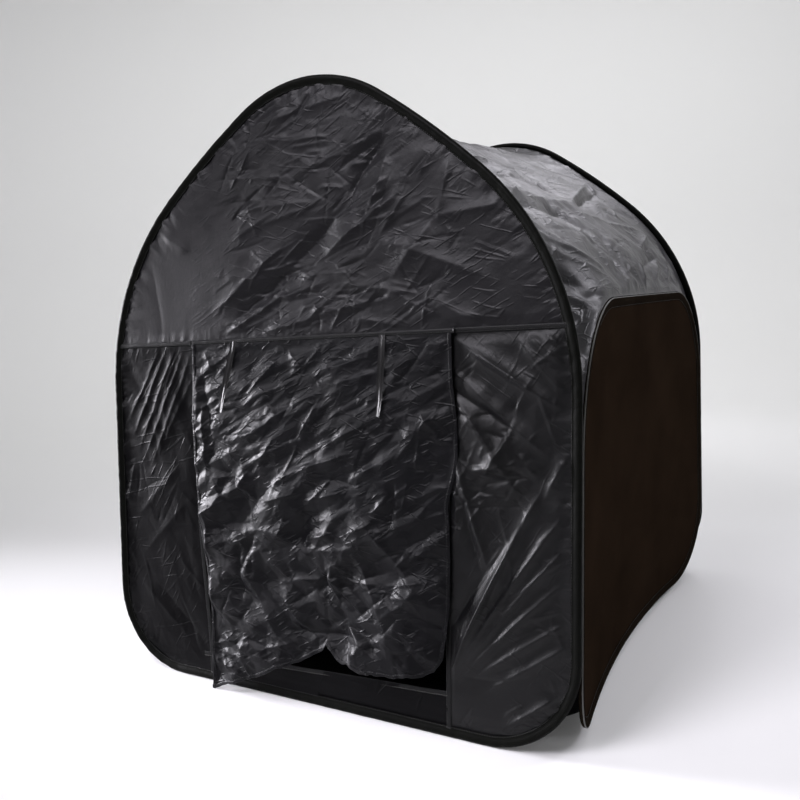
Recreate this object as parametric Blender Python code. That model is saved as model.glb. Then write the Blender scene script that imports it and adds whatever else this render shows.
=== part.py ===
"""Pop-up sensory play tent.

Four closed spring hoops in cloth sleeves stand as the edges of the tent: a
pointed arch in front, one behind, and a rounded rectangle on each side. Black
cloth is sewn between them as walls, a saddle roof and a floor. A cloth flap
hangs over the doorway from the seam that crosses the front wall.

Metres, +Z up, the doorway faces -Y. The origin is on the floor, under the
middle of the tent.
"""
from math import acos, asin, atan, cos, pi, radians, sin

import bmesh
import bpy
from mathutils import Vector

# Driving sizes of the tent
DEPTH = 1.136
HOOP_HEIGHT = 1.236
LEAN = 0.062
CROWN_RADIUS = 0.296
CROWN_TURN = radians(33.1)
FLANK_RADIUS = 1.695
FLANK_TURN = radians(41.8)
SHOULDER_RADIUS = 0.532
FOOT_RADIUS = 0.180

# Side hoops: a rounded rectangle, bowed in towards the middle of the tent
SIDE_BOTTOM = 0.020
SIDE_TOP = 0.790
SIDE_FRONT_FOOT_RADIUS = 0.120
SIDE_BACK_FOOT_RADIUS = 0.210
SIDE_FRONT_TOP_RADIUS = 0.270
SIDE_BACK_TOP_RADIUS = 0.235
SIDE_PLANE = 0.539
SIDE_BOW_BOTTOM = 0.055
SIDE_BOW_TOP = 0.020

# Sleeves around the spring wire, and the cloth
SLEEVE_HALF_WIDTH = 0.010
SLEEVE_HALF_THICK = 0.006
SLEEVE_CHAMFER = 0.0035
CLOTH = 0.0015
GAP = 0.0003
HOOP_GAP = 0.00045
ROOF_INSET = 0.008
ROOF_SAG = 0.045
EAVE_BULGE = 0.012

# Doorway in the front wall
SEAM_HEIGHT = 0.738
SEAM_SLOPE = 0.0276
TAPE_HALF_HEIGHT = 0.005
TAPE_BACK = 0.0011
TAPE_FRONT = 0.0036
DOOR_LEFT = -0.300
DOOR_RIGHT = 0.291
SILL_TOP = 0.082
BINDING_WIDTH = 0.010
BINDING_THICK = 0.0022

# Door flap and its ties, hung on a rolled top hem
FLAP_HEM_RADIUS = 0.003
FLAP_STAND_OFF = TAPE_FRONT + GAP + FLAP_HEM_RADIUS
FLAP_LEFT = -0.312
FLAP_RIGHT = 0.306
FLAP_FOOT_LEFT = (-0.285, 0.032)
FLAP_FOOT_MIDDLE = (-0.030, 0.075)
FLAP_FOOT_RIGHT = (0.286, 0.145)
TIE_WIDTH = 0.012
TIE_THICK = 0.001
TIE_LENGTH = 0.150
TIES = {"left": (-0.187, 10.5), "right": (0.167, 5.0)}

# Floor
FLOOR_FRONT_SPAN = 0.350
FLOOR_EDGE_RISE = 0.030
FLOOR_EDGE_WIDTH = 0.060
FLOOR_EDGE_CLEAR = 0.0014
FLOOR_EDGE_GAP = 0.0008
FLOOR_END_INSET = 0.0052
FLOOR_EDGE_Y = DEPTH / 2 - FLOOR_END_INSET

# Worked out from the driving sizes
SEAM_ANGLE = -asin(SEAM_SLOPE)
LEAN_ANGLE = atan(LEAN)
SLEEVE_WIDTH = 2 * SLEEVE_HALF_WIDTH
SIDE_REACH = DEPTH / 2 - (SLEEVE_HALF_THICK + HOOP_GAP) / cos(LEAN_ANGLE)
CROWN_CENTRE = Vector((0, HOOP_HEIGHT - CROWN_RADIUS))
FLANK_CENTRE = CROWN_CENTRE - (FLANK_RADIUS - CROWN_RADIUS) * Vector((sin(CROWN_TURN), cos(CROWN_TURN)))
SHOULDER_CENTRE = FLANK_CENTRE + (FLANK_RADIUS - SHOULDER_RADIUS) * Vector((sin(FLANK_TURN), cos(FLANK_TURN)))
HALF_SPAN = SHOULDER_CENTRE.x + SHOULDER_RADIUS
FOOT_CENTRE = Vector((HALF_SPAN - FOOT_RADIUS, FOOT_RADIUS))

EAVE_FOOT = SIDE_TOP + GAP + CLOTH / 2
EAVE_TURN = acos((EAVE_FOOT - SHOULDER_CENTRE.y) / (SHOULDER_RADIUS - ROOF_INSET))
ROOF_EDGE = SIDE_REACH - GAP / 2
ARCH_FOOT_STEPS = 6
ARCH_SHOULDER_STEPS = 6
ARCH_FLANK_STEPS = 3
ARCH_CROWN_STEPS = 5
ROOF_STEPS = 10
ROOF_CROWN_STEPS = 6
ROOF_SLOPE_STEPS = 3
ROOF_EAVE_STEPS = 5
CORNER_STEPS = 6
STRAIGHT_STEPS = 4
GUSSET_STEPS = 5
GUSSET_STEPS_ACROSS = 5
FLOOR_EDGE_STEPS = 4
SIDE_RINGS = (1, 0.8, 0.55, 0.28)
CORNER_SEAM_WIDTH = 0.004
CORNER_SEAM_LOW = 0.190
CORNER_SEAM_HIGH = 0.500
FLOOR_CORNER = 0.150

CLOTH_COLOUR = (0.020, 0.020, 0.023, 1)
ROOF_COLOUR = (0.030, 0.030, 0.033, 1)
SIDE_COLOUR = (0.012, 0.011, 0.010, 1)
SLEEVE_COLOUR = (0.026, 0.027, 0.024, 1)


def arc(centre, radius, start, end, steps):
    """Points on a round stretch, both ends included."""
    points = []
    for k in range(steps + 1):
        angle = start + (end - start) * k / steps
        points.append(Vector((centre[0] + radius * cos(angle), centre[1] + radius * sin(angle))))
    return points


def arch_half(inset):
    """Right half of the arch hoop's outline, from its foot to its apex."""
    quarter = pi / 2
    points = arc(FOOT_CENTRE, FOOT_RADIUS - inset, -quarter, 0, ARCH_FOOT_STEPS)
    stretches = (
        (SHOULDER_CENTRE, SHOULDER_RADIUS, 0, quarter - FLANK_TURN, ARCH_SHOULDER_STEPS),
        (FLANK_CENTRE, FLANK_RADIUS, quarter - FLANK_TURN, quarter - CROWN_TURN, ARCH_FLANK_STEPS),
        (CROWN_CENTRE, CROWN_RADIUS, quarter - CROWN_TURN, quarter, ARCH_CROWN_STEPS),
    )
    for centre, radius, start, end, steps in stretches:
        points += arc(centre, radius - inset, start, end, steps)[start > 0:]
    return points


def arch_outline(inset):
    """The whole arch hoop's outline, as (across, up) in its leaning plane."""
    right = arch_half(inset)
    left = [Vector((-p.x, p.y)) for p in reversed(right[:-1])]
    return right + left


def arch_across(height, inset):
    """Half width of the arch at a height on its shoulder or its upright."""
    rise = asin(max(0, height - SHOULDER_CENTRE.y) / (SHOULDER_RADIUS - inset))
    return SHOULDER_CENTRE.x + (SHOULDER_RADIUS - inset) * cos(rise)


def side_outline(inset):
    """A side hoop's outline, as (along, up) before its lean and bow."""
    front = -SIDE_REACH
    back = SIDE_REACH
    quarter = pi / 2
    corners = (
        (back - SIDE_BACK_FOOT_RADIUS, SIDE_BOTTOM + SIDE_BACK_FOOT_RADIUS, SIDE_BACK_FOOT_RADIUS),
        (back - SIDE_BACK_TOP_RADIUS, SIDE_TOP - SIDE_BACK_TOP_RADIUS, SIDE_BACK_TOP_RADIUS),
        (front + SIDE_FRONT_TOP_RADIUS, SIDE_TOP - SIDE_FRONT_TOP_RADIUS, SIDE_FRONT_TOP_RADIUS),
        (front + SIDE_FRONT_FOOT_RADIUS, SIDE_BOTTOM + SIDE_FRONT_FOOT_RADIUS, SIDE_FRONT_FOOT_RADIUS),
    )
    points = []
    for turn, (along, up, radius) in enumerate(corners):
        start = (turn - 1) * quarter
        corner = arc((along, up), radius - inset, start, start + quarter, CORNER_STEPS)
        points += corner
        following = corners[(turn + 1) % 4]
        end = corner[-1]
        if turn % 2:
            stop = Vector((following[0], end.y))
        else:
            stop = Vector((end.x, following[1]))
        points += [end.lerp(stop, k / STRAIGHT_STEPS) for k in range(1, STRAIGHT_STEPS)]
    return points


def side_point(hand, along, up, out=0.0):
    """A point of a side wall: the wall narrows upwards and bows inwards."""
    reach = 1 - LEAN * up / SIDE_REACH
    share = (up - SIDE_BOTTOM) / (SIDE_TOP - SIDE_BOTTOM)
    bow = SIDE_BOW_BOTTOM + (SIDE_BOW_TOP - SIDE_BOW_BOTTOM) * share
    bow *= 1 - (along / SIDE_REACH) ** 2
    return Vector((hand * (SIDE_PLANE - bow + out), along * reach, up))


def clip(points, across, up, limit):
    """Keep the part of an outline where across * x + up * y is at least limit."""
    kept = []
    for here, after in zip(points, points[1:] + points[:1]):
        a = across * here.x + up * here.y - limit
        b = across * after.x + up * after.y - limit
        if a >= 0:
            kept.append(here)
        if a * b < 0:
            kept.append(here.lerp(after, a / (a - b)))
    return kept


def material(name, colour, roughness):
    """A dull cloth material."""
    made = bpy.data.materials.new(name)
    made.use_nodes = True
    shader = made.node_tree.nodes["Principled BSDF"]
    shader.inputs["Base Color"].default_value = colour
    shader.inputs["Roughness"].default_value = roughness
    shader.inputs["Metallic"].default_value = 0.0
    return made


def add_object(name, mesh_source, parent, colour, roughness=0.5):
    """Put a finished bmesh in the scene as a named object with its material."""
    mesh = bpy.data.meshes.new(name)
    bmesh.ops.recalc_face_normals(mesh_source, faces=mesh_source.faces)
    mesh_source.to_mesh(mesh)
    mesh_source.free()
    made = bpy.data.objects.new(name, mesh)
    bpy.context.collection.objects.link(made)
    made.parent = parent
    mesh.materials.append(material(name + "_cloth", colour, roughness))
    return made


def add_frame(name, location, rotation, parent=None):
    """An empty that other objects are placed in."""
    frame = bpy.data.objects.new(name, None)
    bpy.context.collection.objects.link(frame)
    frame.parent = parent
    frame.location = location
    frame.rotation_euler = rotation
    return frame


def thicken(cloth, thickness):
    """Give a sheet its thickness, half to each side."""
    solid = cloth.modifiers.new("thickness", "SOLIDIFY")
    solid.thickness = thickness
    solid.offset = 0
    solid.use_even_offset = True


def flat_sheet(name, outline, parent, thickness=CLOTH, stand_off=0.0, colour=CLOTH_COLOUR):
    """A flat sheet in its frame's XZ plane, standing off towards -Y."""
    source = bmesh.new()
    source.faces.new([source.verts.new((p.x, -stand_off, p.y)) for p in outline])
    sheet = add_object(name, source, parent, colour)
    thicken(sheet, thickness)
    return sheet


def grid_sheet(name, rows, colour, parent=None):
    """A curved sheet through rows of points."""
    source = bmesh.new()
    lines = [[source.verts.new(p) for p in row] for row in rows]
    for low, high in zip(lines, lines[1:]):
        for k in range(len(low) - 1):
            source.faces.new((low[k], low[k + 1], high[k + 1], high[k]))
    sheet = add_object(name, source, parent, colour)
    thicken(sheet, CLOTH)
    sheet.data.shade_smooth()
    return sheet


def sleeve(name, ring_points, parent):
    """A closed tube: ring_points(across, out) gives one line of it lengthways."""
    wide = SLEEVE_HALF_WIDTH
    thick = SLEEVE_HALF_THICK
    cut = SLEEVE_CHAMFER
    section = []
    for across, out in ((1, 1), (-1, 1), (-1, -1), (1, -1)):
        corner = [(across * wide, out * (thick - cut)), (across * (wide - cut), out * thick)]
        section += corner if across == out else corner[::-1]
    source = bmesh.new()
    lines = [[source.verts.new(p) for p in ring_points(across, out)] for across, out in section]
    for line, beside in zip(lines, lines[1:] + lines[:1]):
        count = len(line)
        for k in range(count):
            after = (k + 1) % count
            source.faces.new((line[k], line[after], beside[after], beside[k]))
    tube = add_object(name, source, parent, SLEEVE_COLOUR, 0.45)
    tube.data.shade_smooth()
    tube.data.set_sharp_from_angle(angle=radians(50))
    return tube


def box(name, low, high, parent, colour):
    """A plain bar between two corners."""
    source = bmesh.new()
    bmesh.ops.create_cube(source, size=1)
    bar = add_object(name, source, parent, colour)
    low = Vector(low)
    high = Vector(high)
    for vertex in bar.data.vertices:
        vertex.co = (low + high) / 2 + Vector([c * s for c, s in zip(vertex.co, high - low)])
    return bar


def build_hoops(front, back):
    """The four sleeves with the spring wire in them."""
    def arch_line(across, out):
        inset = SLEEVE_HALF_WIDTH - across
        return [(p.x, -out, p.y) for p in arch_outline(inset)]

    sleeve("front_hoop_sleeve", arch_line, front)
    sleeve("back_hoop_sleeve", arch_line, back)
    for side, hand in (("left", -1), ("right", 1)):
        def side_line(across, out, hand=hand):
            outline = side_outline(SLEEVE_HALF_WIDTH - across)
            return [side_point(hand, p.x, p.y, out) for p in outline]

        sleeve(side + "_hoop_sleeve", side_line, None)


def build_front_wall(front):
    """The front wall's sheets around the doorway, and their seams."""
    wall = arch_outline(SLEEVE_WIDTH + GAP)
    tape_reach = TAPE_HALF_HEIGHT + GAP
    upper = clip(wall, -SEAM_SLOPE, 1, SEAM_HEIGHT + tape_reach)
    lower = clip(wall, SEAM_SLOPE, -1, -SEAM_HEIGHT + tape_reach)
    flat_sheet("front_upper_panel", upper, front)
    flat_sheet("front_left_panel", clip(lower, -1, 0, -DOOR_LEFT + GAP), front)
    flat_sheet("front_right_panel", clip(lower, 1, 0, DOOR_RIGHT + GAP), front)

    doorway = clip(clip(lower, 1, 0, DOOR_LEFT), -1, 0, -DOOR_RIGHT)
    hem_bottom = SILL_TOP - BINDING_WIDTH
    sill = clip(doorway, 0, -1, -hem_bottom + GAP)
    flat_sheet("front_sill_panel", sill, front)
    hem = clip(clip(doorway, 0, 1, hem_bottom), 0, -1, -SILL_TOP)
    flat_sheet("sill_top_hem", hem, front, BINDING_THICK)
    frame = clip(doorway, 0, 1, SILL_TOP + GAP)
    left = clip(frame, -1, 0, -DOOR_LEFT - BINDING_WIDTH)
    right = clip(frame, 1, 0, DOOR_RIGHT - BINDING_WIDTH)
    flat_sheet("door_binding_left", left, front, BINDING_THICK)
    flat_sheet("door_binding_right", right, front, BINDING_THICK)

    tape = clip(wall, -SEAM_SLOPE, 1, SEAM_HEIGHT - TAPE_HALF_HEIGHT)
    tape = clip(tape, SEAM_SLOPE, -1, -SEAM_HEIGHT - TAPE_HALF_HEIGHT)
    stand_off = (TAPE_FRONT - TAPE_BACK) / 2
    flat_sheet("front_seam_tape", tape, front, TAPE_FRONT + TAPE_BACK, stand_off)


def build_back_wall(back):
    """The plain back wall: two sheets and the seam tape between them."""
    wall = arch_outline(SLEEVE_WIDTH + GAP)
    tape_reach = TAPE_HALF_HEIGHT + GAP
    flat_sheet("back_upper_panel", clip(wall, 0, 1, SEAM_HEIGHT + tape_reach), back)
    flat_sheet("back_lower_panel", clip(wall, 0, -1, -SEAM_HEIGHT + tape_reach), back)
    tape = clip(wall, 0, 1, SEAM_HEIGHT - TAPE_HALF_HEIGHT)
    tape = clip(tape, 0, -1, -SEAM_HEIGHT - TAPE_HALF_HEIGHT)
    flat_sheet("back_seam_tape", tape, back, BINDING_THICK)


def build_side_walls():
    """One taut, bowed sheet inside each side hoop."""
    outline = side_outline(SLEEVE_WIDTH + GAP)
    middle = Vector((0, (SIDE_BOTTOM + SIDE_TOP) / 2))
    for side, hand in (("left", -1), ("right", 1)):
        source = bmesh.new()
        rings = []
        for share in SIDE_RINGS:
            ring = [middle.lerp(p, share) for p in outline]
            rings.append([source.verts.new(side_point(hand, p.x, p.y)) for p in ring])
        count = len(outline)
        for outer, inner in zip(rings, rings[1:]):
            for k in range(count):
                after = (k + 1) % count
                source.faces.new((outer[k], outer[after], inner[after], inner[k]))
        centre = source.verts.new(side_point(hand, middle.x, middle.y))
        for k in range(count):
            source.faces.new((rings[-1][k], rings[-1][(k + 1) % count], centre))
        panel = add_object(side + "_side_panel", source, None, SIDE_COLOUR, 0.4)
        thicken(panel, CLOTH)
        panel.data.shade_smooth()


def arch_at_turn(turn, inset):
    """A point of the arch where it has turned this far from its apex, and its outward normal."""
    if turn <= CROWN_TURN:
        centre, radius = CROWN_CENTRE, CROWN_RADIUS
    elif turn <= FLANK_TURN:
        centre, radius = FLANK_CENTRE, FLANK_RADIUS
    else:
        centre, radius = SHOULDER_CENTRE, SHOULDER_RADIUS
    normal = Vector((sin(turn), cos(turn)))
    return centre + (radius - inset) * normal, normal


def roof_row(turn, hand):
    """A line of the roof from hoop to hoop, drawn in half way along it."""
    point, normal = arch_at_turn(turn, ROOF_INSET)
    share = (HOOP_HEIGHT - point.y) / (HOOP_HEIGHT - EAVE_FOOT)
    sag = ROOF_SAG * (1 - share) - EAVE_BULGE * share
    edge = ROOF_EDGE - LEAN * point.y
    row = []
    for k in range(ROOF_STEPS + 1):
        v = 2 * k / ROOF_STEPS - 1
        pull = sag * (1 - v * v)
        row.append((hand * (point.x - normal.x * pull), v * edge, point.y - normal.y * pull))
    return row


def build_roof():
    """The roof between the arch hoops: a crown, two slopes and two eaves."""
    crown = [CROWN_TURN * k / ROOF_CROWN_STEPS for k in range(-ROOF_CROWN_STEPS, ROOF_CROWN_STEPS + 1)]
    rows = [roof_row(abs(turn), -1 if turn < 0 else 1) for turn in crown]
    grid_sheet("roof_crown_panel", rows, ROOF_COLOUR)
    stretches = (
        ("roof_slope_", CROWN_TURN, FLANK_TURN, FLANK_RADIUS, ROOF_SLOPE_STEPS),
        ("roof_eave_", FLANK_TURN, EAVE_TURN, SHOULDER_RADIUS, ROOF_EAVE_STEPS),
    )
    for name, start, end, radius, steps in stretches:
        start += GAP / radius
        for side, hand in (("left", -1), ("right", 1)):
            turns = [start + (end - start) * k / steps for k in range(steps + 1)]
            grid_sheet(name + side, [roof_row(turn, hand) for turn in turns], ROOF_COLOUR)


def build_gussets():
    """Cloth between the arch hoops and the side hoops' rounded top corners."""
    corners = (
        ("front", -1, SIDE_FRONT_TOP_RADIUS),
        ("back", 1, SIDE_BACK_TOP_RADIUS),
    )
    for end, way, radius in corners:
        for side, hand in (("left", -1), ("right", 1)):
            rows = []
            for k in range(GUSSET_STEPS + 1):
                turn = pi / 2 * k / CORNER_STEPS
                reach = radius + GAP + CLOTH / 2
                along = way * (SIDE_REACH - radius + reach * sin(turn))
                up = SIDE_TOP - radius + reach * cos(turn)
                inner = side_point(hand, along, up)
                outer_x = hand * arch_across(up, ROOF_INSET)
                outer = Vector((outer_x, way * (ROOF_EDGE - LEAN * up), up))
                steps = GUSSET_STEPS_ACROSS
                rows.append([outer.lerp(inner, j / steps) for j in range(steps + 1)])
            grid_sheet("gusset_" + end + "_" + side, rows, ROOF_COLOUR)


def build_corner_seams(frames):
    """The strips that join an arch hoop's sleeve to a side hoop's, upright."""
    for end, frame in frames.items():
        for side, hand in (("left", -1), ("right", 1)):
            beside = SIDE_REACH - CORNER_SEAM_WIDTH
            inner = side_point(1, beside, CORNER_SEAM_LOW, -SLEEVE_HALF_THICK - GAP).x
            way = hand if end == "front" else -hand
            near = way * (inner - CORNER_SEAM_WIDTH)
            far = way * inner
            behind = SLEEVE_HALF_THICK + GAP
            low = (min(near, far), behind, CORNER_SEAM_LOW)
            high = (max(near, far), behind + CORNER_SEAM_WIDTH, CORNER_SEAM_HIGH)
            box("corner_seam_" + end + "_" + side, low, high, frame, SLEEVE_COLOUR)


def build_floor():
    """The floor sheet, with a strip along each side turned up to the side hoop."""
    level = CLOTH / 2
    sides = FLOOR_EDGE_Y - FLOOR_CORNER
    edges = []
    for k in range(-FLOOR_EDGE_STEPS, FLOOR_EDGE_STEPS + 1):
        along = sides * k / FLOOR_EDGE_STEPS
        edge = side_point(1, along, FLOOR_EDGE_RISE, -SLEEVE_HALF_THICK - FLOOR_EDGE_CLEAR)
        edges.append((along, edge.x))
    flat = [(-FLOOR_EDGE_Y, FLOOR_FRONT_SPAN)]
    flat += [(along, reach - FLOOR_EDGE_WIDTH) for along, reach in edges]
    flat += [(FLOOR_EDGE_Y, FLOOR_FRONT_SPAN)]
    rows = [[(-reach, along, level), (reach, along, level)] for along, reach in flat]
    grid_sheet("floor_sheet", rows, CLOTH_COLOUR)
    for side, hand in (("left", -1), ("right", 1)):
        rows = []
        for along, reach in edges:
            foot = reach - FLOOR_EDGE_WIDTH + FLOOR_EDGE_GAP
            rows.append([(hand * foot, along, level), (hand * reach, along, FLOOR_EDGE_RISE)])
        grid_sheet("floor_edge_" + side, rows, CLOTH_COLOUR)


def build_door(front):
    """The flap, its rolled top hem and its ties, all turning about the hem."""
    seam = Vector((0, -FLAP_STAND_OFF, SEAM_HEIGHT))
    hinge = add_frame("door_hinge", seam, (0, SEAM_ANGLE, 0), front)

    def in_hinge(across, up):
        """A place on the front wall, seen from the hinge."""
        x = across
        z = up - SEAM_HEIGHT
        turn = -SEAM_ANGLE
        return Vector((x * cos(turn) + z * sin(turn), z * cos(turn) - x * sin(turn)))

    source = bmesh.new()
    bmesh.ops.create_cone(source, cap_ends=True, segments=12, radius1=FLAP_HEM_RADIUS,
                          radius2=FLAP_HEM_RADIUS, depth=FLAP_RIGHT - FLAP_LEFT)
    hem = add_object("door_flap_top_hem", source, hinge, SLEEVE_COLOUR)
    hem.rotation_euler = (0, pi / 2, 0)
    hem.location = ((FLAP_LEFT + FLAP_RIGHT) / 2, 0, 0)
    hem.data.shade_smooth()
    hem.data.set_sharp_from_angle(angle=radians(50))

    top = -FLAP_HEM_RADIUS - GAP
    outline = [
        Vector((FLAP_LEFT, top)),
        in_hinge(*FLAP_FOOT_LEFT),
        in_hinge(*FLAP_FOOT_MIDDLE),
        in_hinge(*FLAP_FOOT_RIGHT),
        Vector((FLAP_RIGHT, top)),
    ]
    flat_sheet("door_flap", outline, hinge)

    for side, (across, slant) in TIES.items():
        swing = Vector((-sin(radians(slant)), -cos(radians(slant))))
        beside = Vector((swing.y, -swing.x)) * TIE_WIDTH / 2
        head = Vector((across, top - TIE_WIDTH / 4))
        foot = head + swing * TIE_LENGTH
        ribbon = [head - beside, foot - beside, foot + beside, head + beside]
        stand_off = CLOTH / 2 + GAP + TIE_THICK / 2
        flat_sheet("door_tie_" + side, ribbon, hinge, TIE_THICK, stand_off)


def main():
    for old in list(bpy.data.objects):
        bpy.data.objects.remove(old, do_unlink=True)
    lift = SLEEVE_HALF_THICK * LEAN
    front = add_frame("front_frame", (0, -DEPTH / 2, lift), (-LEAN_ANGLE, 0, 0))
    back = add_frame("back_frame", (0, DEPTH / 2, lift), (-LEAN_ANGLE, 0, pi))
    build_hoops(front, back)
    build_front_wall(front)
    build_back_wall(back)
    build_side_walls()
    build_roof()
    build_gussets()
    build_corner_seams({"front": front, "back": back})
    build_floor()
    build_door(front)


main()
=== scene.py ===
"""Looks of the pop-up sensory play tent: creased black cloth on spring hoops.

Sizes are in metres, in the frame of the CAD model. A place on the front or
back wall is (across, up) in that wall's leaning plane, with a distance out of
it. Folds are ridges and valleys with a sharp crest, laid where the cloth is
pulled, and the finer creases are scattered from fixed seeds.
"""

from math import asin, atan, cos, pi, radians, sin

import bpy
import numpy as np
from mathutils import Matrix, Vector, geometry


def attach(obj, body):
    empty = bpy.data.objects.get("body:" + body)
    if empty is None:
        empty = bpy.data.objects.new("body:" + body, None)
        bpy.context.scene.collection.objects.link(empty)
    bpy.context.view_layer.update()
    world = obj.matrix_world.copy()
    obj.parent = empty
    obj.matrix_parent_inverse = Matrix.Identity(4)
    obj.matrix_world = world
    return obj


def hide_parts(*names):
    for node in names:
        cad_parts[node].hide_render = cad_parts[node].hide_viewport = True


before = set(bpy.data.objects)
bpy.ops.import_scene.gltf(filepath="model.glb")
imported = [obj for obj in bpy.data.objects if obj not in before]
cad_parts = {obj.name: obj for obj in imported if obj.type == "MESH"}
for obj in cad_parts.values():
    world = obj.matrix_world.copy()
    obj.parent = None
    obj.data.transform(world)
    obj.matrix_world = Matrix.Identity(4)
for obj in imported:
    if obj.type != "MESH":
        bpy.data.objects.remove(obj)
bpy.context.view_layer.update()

# Sizes shared with the solids
DEPTH = 1.136
HOOP_HEIGHT = 1.236
LEAN = 0.062
CROWN_RADIUS = 0.296
CROWN_TURN = radians(33.1)
FLANK_RADIUS = 1.695
FLANK_TURN = radians(41.8)
SHOULDER_RADIUS = 0.532
FOOT_RADIUS = 0.180
SIDE_BOTTOM = 0.020
SIDE_TOP = 0.790
SIDE_FRONT_FOOT_RADIUS = 0.120
SIDE_BACK_FOOT_RADIUS = 0.210
SIDE_FRONT_TOP_RADIUS = 0.270
SIDE_BACK_TOP_RADIUS = 0.235
SIDE_PLANE = 0.539
SIDE_BOW_BOTTOM = 0.055
SIDE_BOW_TOP = 0.020
SLEEVE_HALF_WIDTH = 0.010
SLEEVE_HALF_THICK = 0.006
ROOF_INSET = 0.008
ROOF_HEM = 0.008
ROOF_SAG = 0.045
EAVE_BULGE = 0.012
EAVE_FOOT = 0.791
SEAM_HEIGHT = 0.738
SEAM_SLOPE = 0.0276
DOOR_LEFT = -0.300
DOOR_RIGHT = 0.291
SILL_TOP = 0.082
BINDING_WIDTH = 0.010
FLAP_STAND_OFF = 0.0069

# Worked out from the sizes
LEAN_ANGLE = atan(LEAN)
LIFT = SLEEVE_HALF_THICK * LEAN
SIDE_REACH = DEPTH / 2 - 0.00645 / cos(LEAN_ANGLE)
CROWN_CENTRE = np.array((0, HOOP_HEIGHT - CROWN_RADIUS))
FLANK_CENTRE = CROWN_CENTRE - (FLANK_RADIUS - CROWN_RADIUS) * np.array((sin(CROWN_TURN), cos(CROWN_TURN)))
SHOULDER_CENTRE = FLANK_CENTRE + (FLANK_RADIUS - SHOULDER_RADIUS) * np.array((sin(FLANK_TURN), cos(FLANK_TURN)))
HALF_SPAN = SHOULDER_CENTRE[0] + SHOULDER_RADIUS
FOOT_CENTRE = np.array((HALF_SPAN - FOOT_RADIUS, FOOT_RADIUS))

# Fineness of the cloth meshes
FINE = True
FLAP_STEP = 0.0024 if FINE else 0.0030
STEP = 0.0026 if FINE else 0.0032
ROOF_STEP = 0.0051 if FINE else 0.0060
PLAIN_STEP = 0.0090 if FINE else 0.0110
SLEEVE_STEP = 0.0032 if FINE else 0.0045
SLEEVE_SIDES = 12
RIM_HIGHLIGHT_RADIUS = 0.0010


# Helpers for smooth and broken surfaces

def smooth(t):
    t = np.clip(t, 0.0, 1.0)
    return t * t * (3 - 2 * t)


def lattice_table(seed):
    return np.random.default_rng(seed).random((128, 128)) * 2 - 1


def soft_noise(x, y, cell, seed):
    """Rolling noise from -1 to 1."""
    table = lattice_table(seed)
    u = x / cell + 50.3
    v = y / cell + 50.7
    i = np.floor(u).astype(int)
    j = np.floor(v).astype(int)
    fu = smooth(u - i)
    fv = smooth(v - j)
    a = table[i % 128, j % 128]
    b = table[(i + 1) % 128, j % 128]
    c = table[i % 128, (j + 1) % 128]
    d = table[(i + 1) % 128, (j + 1) % 128]
    return (a * (1 - fu) + b * fu) * (1 - fv) + (c * (1 - fu) + d * fu) * fv


def facets(x, y, cell, seed, angle=0.0, stretch=1.0):
    """Flat facets with sharp creases between them, from -1 to 1, as in crushed cloth.

    The facets are drawn out by stretch along a direction.
    """
    p = (x * cos(angle) + y * sin(angle)) / stretch
    q = y * cos(angle) - x * sin(angle)
    rng = np.random.default_rng(seed)
    columns = np.arange(np.floor(p.min() / cell) - 2, np.ceil(p.max() / cell) + 3)
    rows = np.arange(np.floor(q.min() / cell) - 2, np.ceil(q.max() / cell) + 3)
    i, j = np.meshgrid(columns, rows)
    corner = np.stack([i + 0.5 * (j % 2), j], -1).reshape(-1, 2)
    corner = (corner + rng.uniform(-0.38, 0.38, corner.shape)) * cell
    level = rng.uniform(-1, 1, len(corner))
    made = geometry.delaunay_2d_cdt([Vector(c) for c in corner], [], [], 0, 1e-9)
    order = np.argsort(q, axis=None)
    ps, qs = p.ravel()[order], q.ravel()[order]
    values = np.zeros(len(ps))
    for face in made[2]:
        (ax, ay), (bx, by), (cx, cy) = corner[face]
        first, last = np.searchsorted(qs, (min(ay, by, cy), max(ay, by, cy)))
        dp, dq = ps[first:last] - ax, qs[first:last] - ay
        area = (bx - ax) * (cy - ay) - (cx - ax) * (by - ay)
        b = (dp * (cy - ay) - dq * (cx - ax)) / area
        c = (dq * (bx - ax) - dp * (by - ay)) / area
        here = (b >= 0) & (c >= 0) & (b + c <= 1)
        a_level, b_level, c_level = level[face]
        values[first:last][here] = (a_level + b * (b_level - a_level) + c * (c_level - a_level))[here]
    back = np.empty(len(ps))
    back[order] = values
    return back.reshape(x.shape)


def fold(x, y, start, end, width, height, bow=0.0, lean=0.0, crest=0.12):
    """One fold: a crest from start to end that falls off to both sides.

    bow bends the crest sideways, lean makes one side steeper than the other.
    """
    ax, ay = start
    length = ((end[0] - ax) ** 2 + (end[1] - ay) ** 2) ** 0.5
    ux = (end[0] - ax) / length
    uy = (end[1] - ay) / length
    along = ((x - ax) * ux + (y - ay) * uy) / length
    across = (y - ay) * ux - (x - ax) * uy - bow * 4 * along * (1 - along)
    near = (along > 0) & (along < 1) & (np.abs(across) < 5 * width)
    made = np.zeros(x.shape)
    t = along[near]
    fade = smooth(t / 0.35) * smooth((1 - t) / 0.35)
    q = across[near] / (width * (0.45 + 0.55 * fade))
    q = np.where(q > 0, q * (1 + lean), q * (1 - lean))
    made[near] = height * fade * np.exp(crest - np.sqrt(q * q + crest * crest))
    return made


def round_patch(x, y, place, radius):
    """1 at a place, fading to 0 at a distance from it."""
    return smooth(1 - np.hypot(x - place[0], y - place[1]) / radius)


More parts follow.
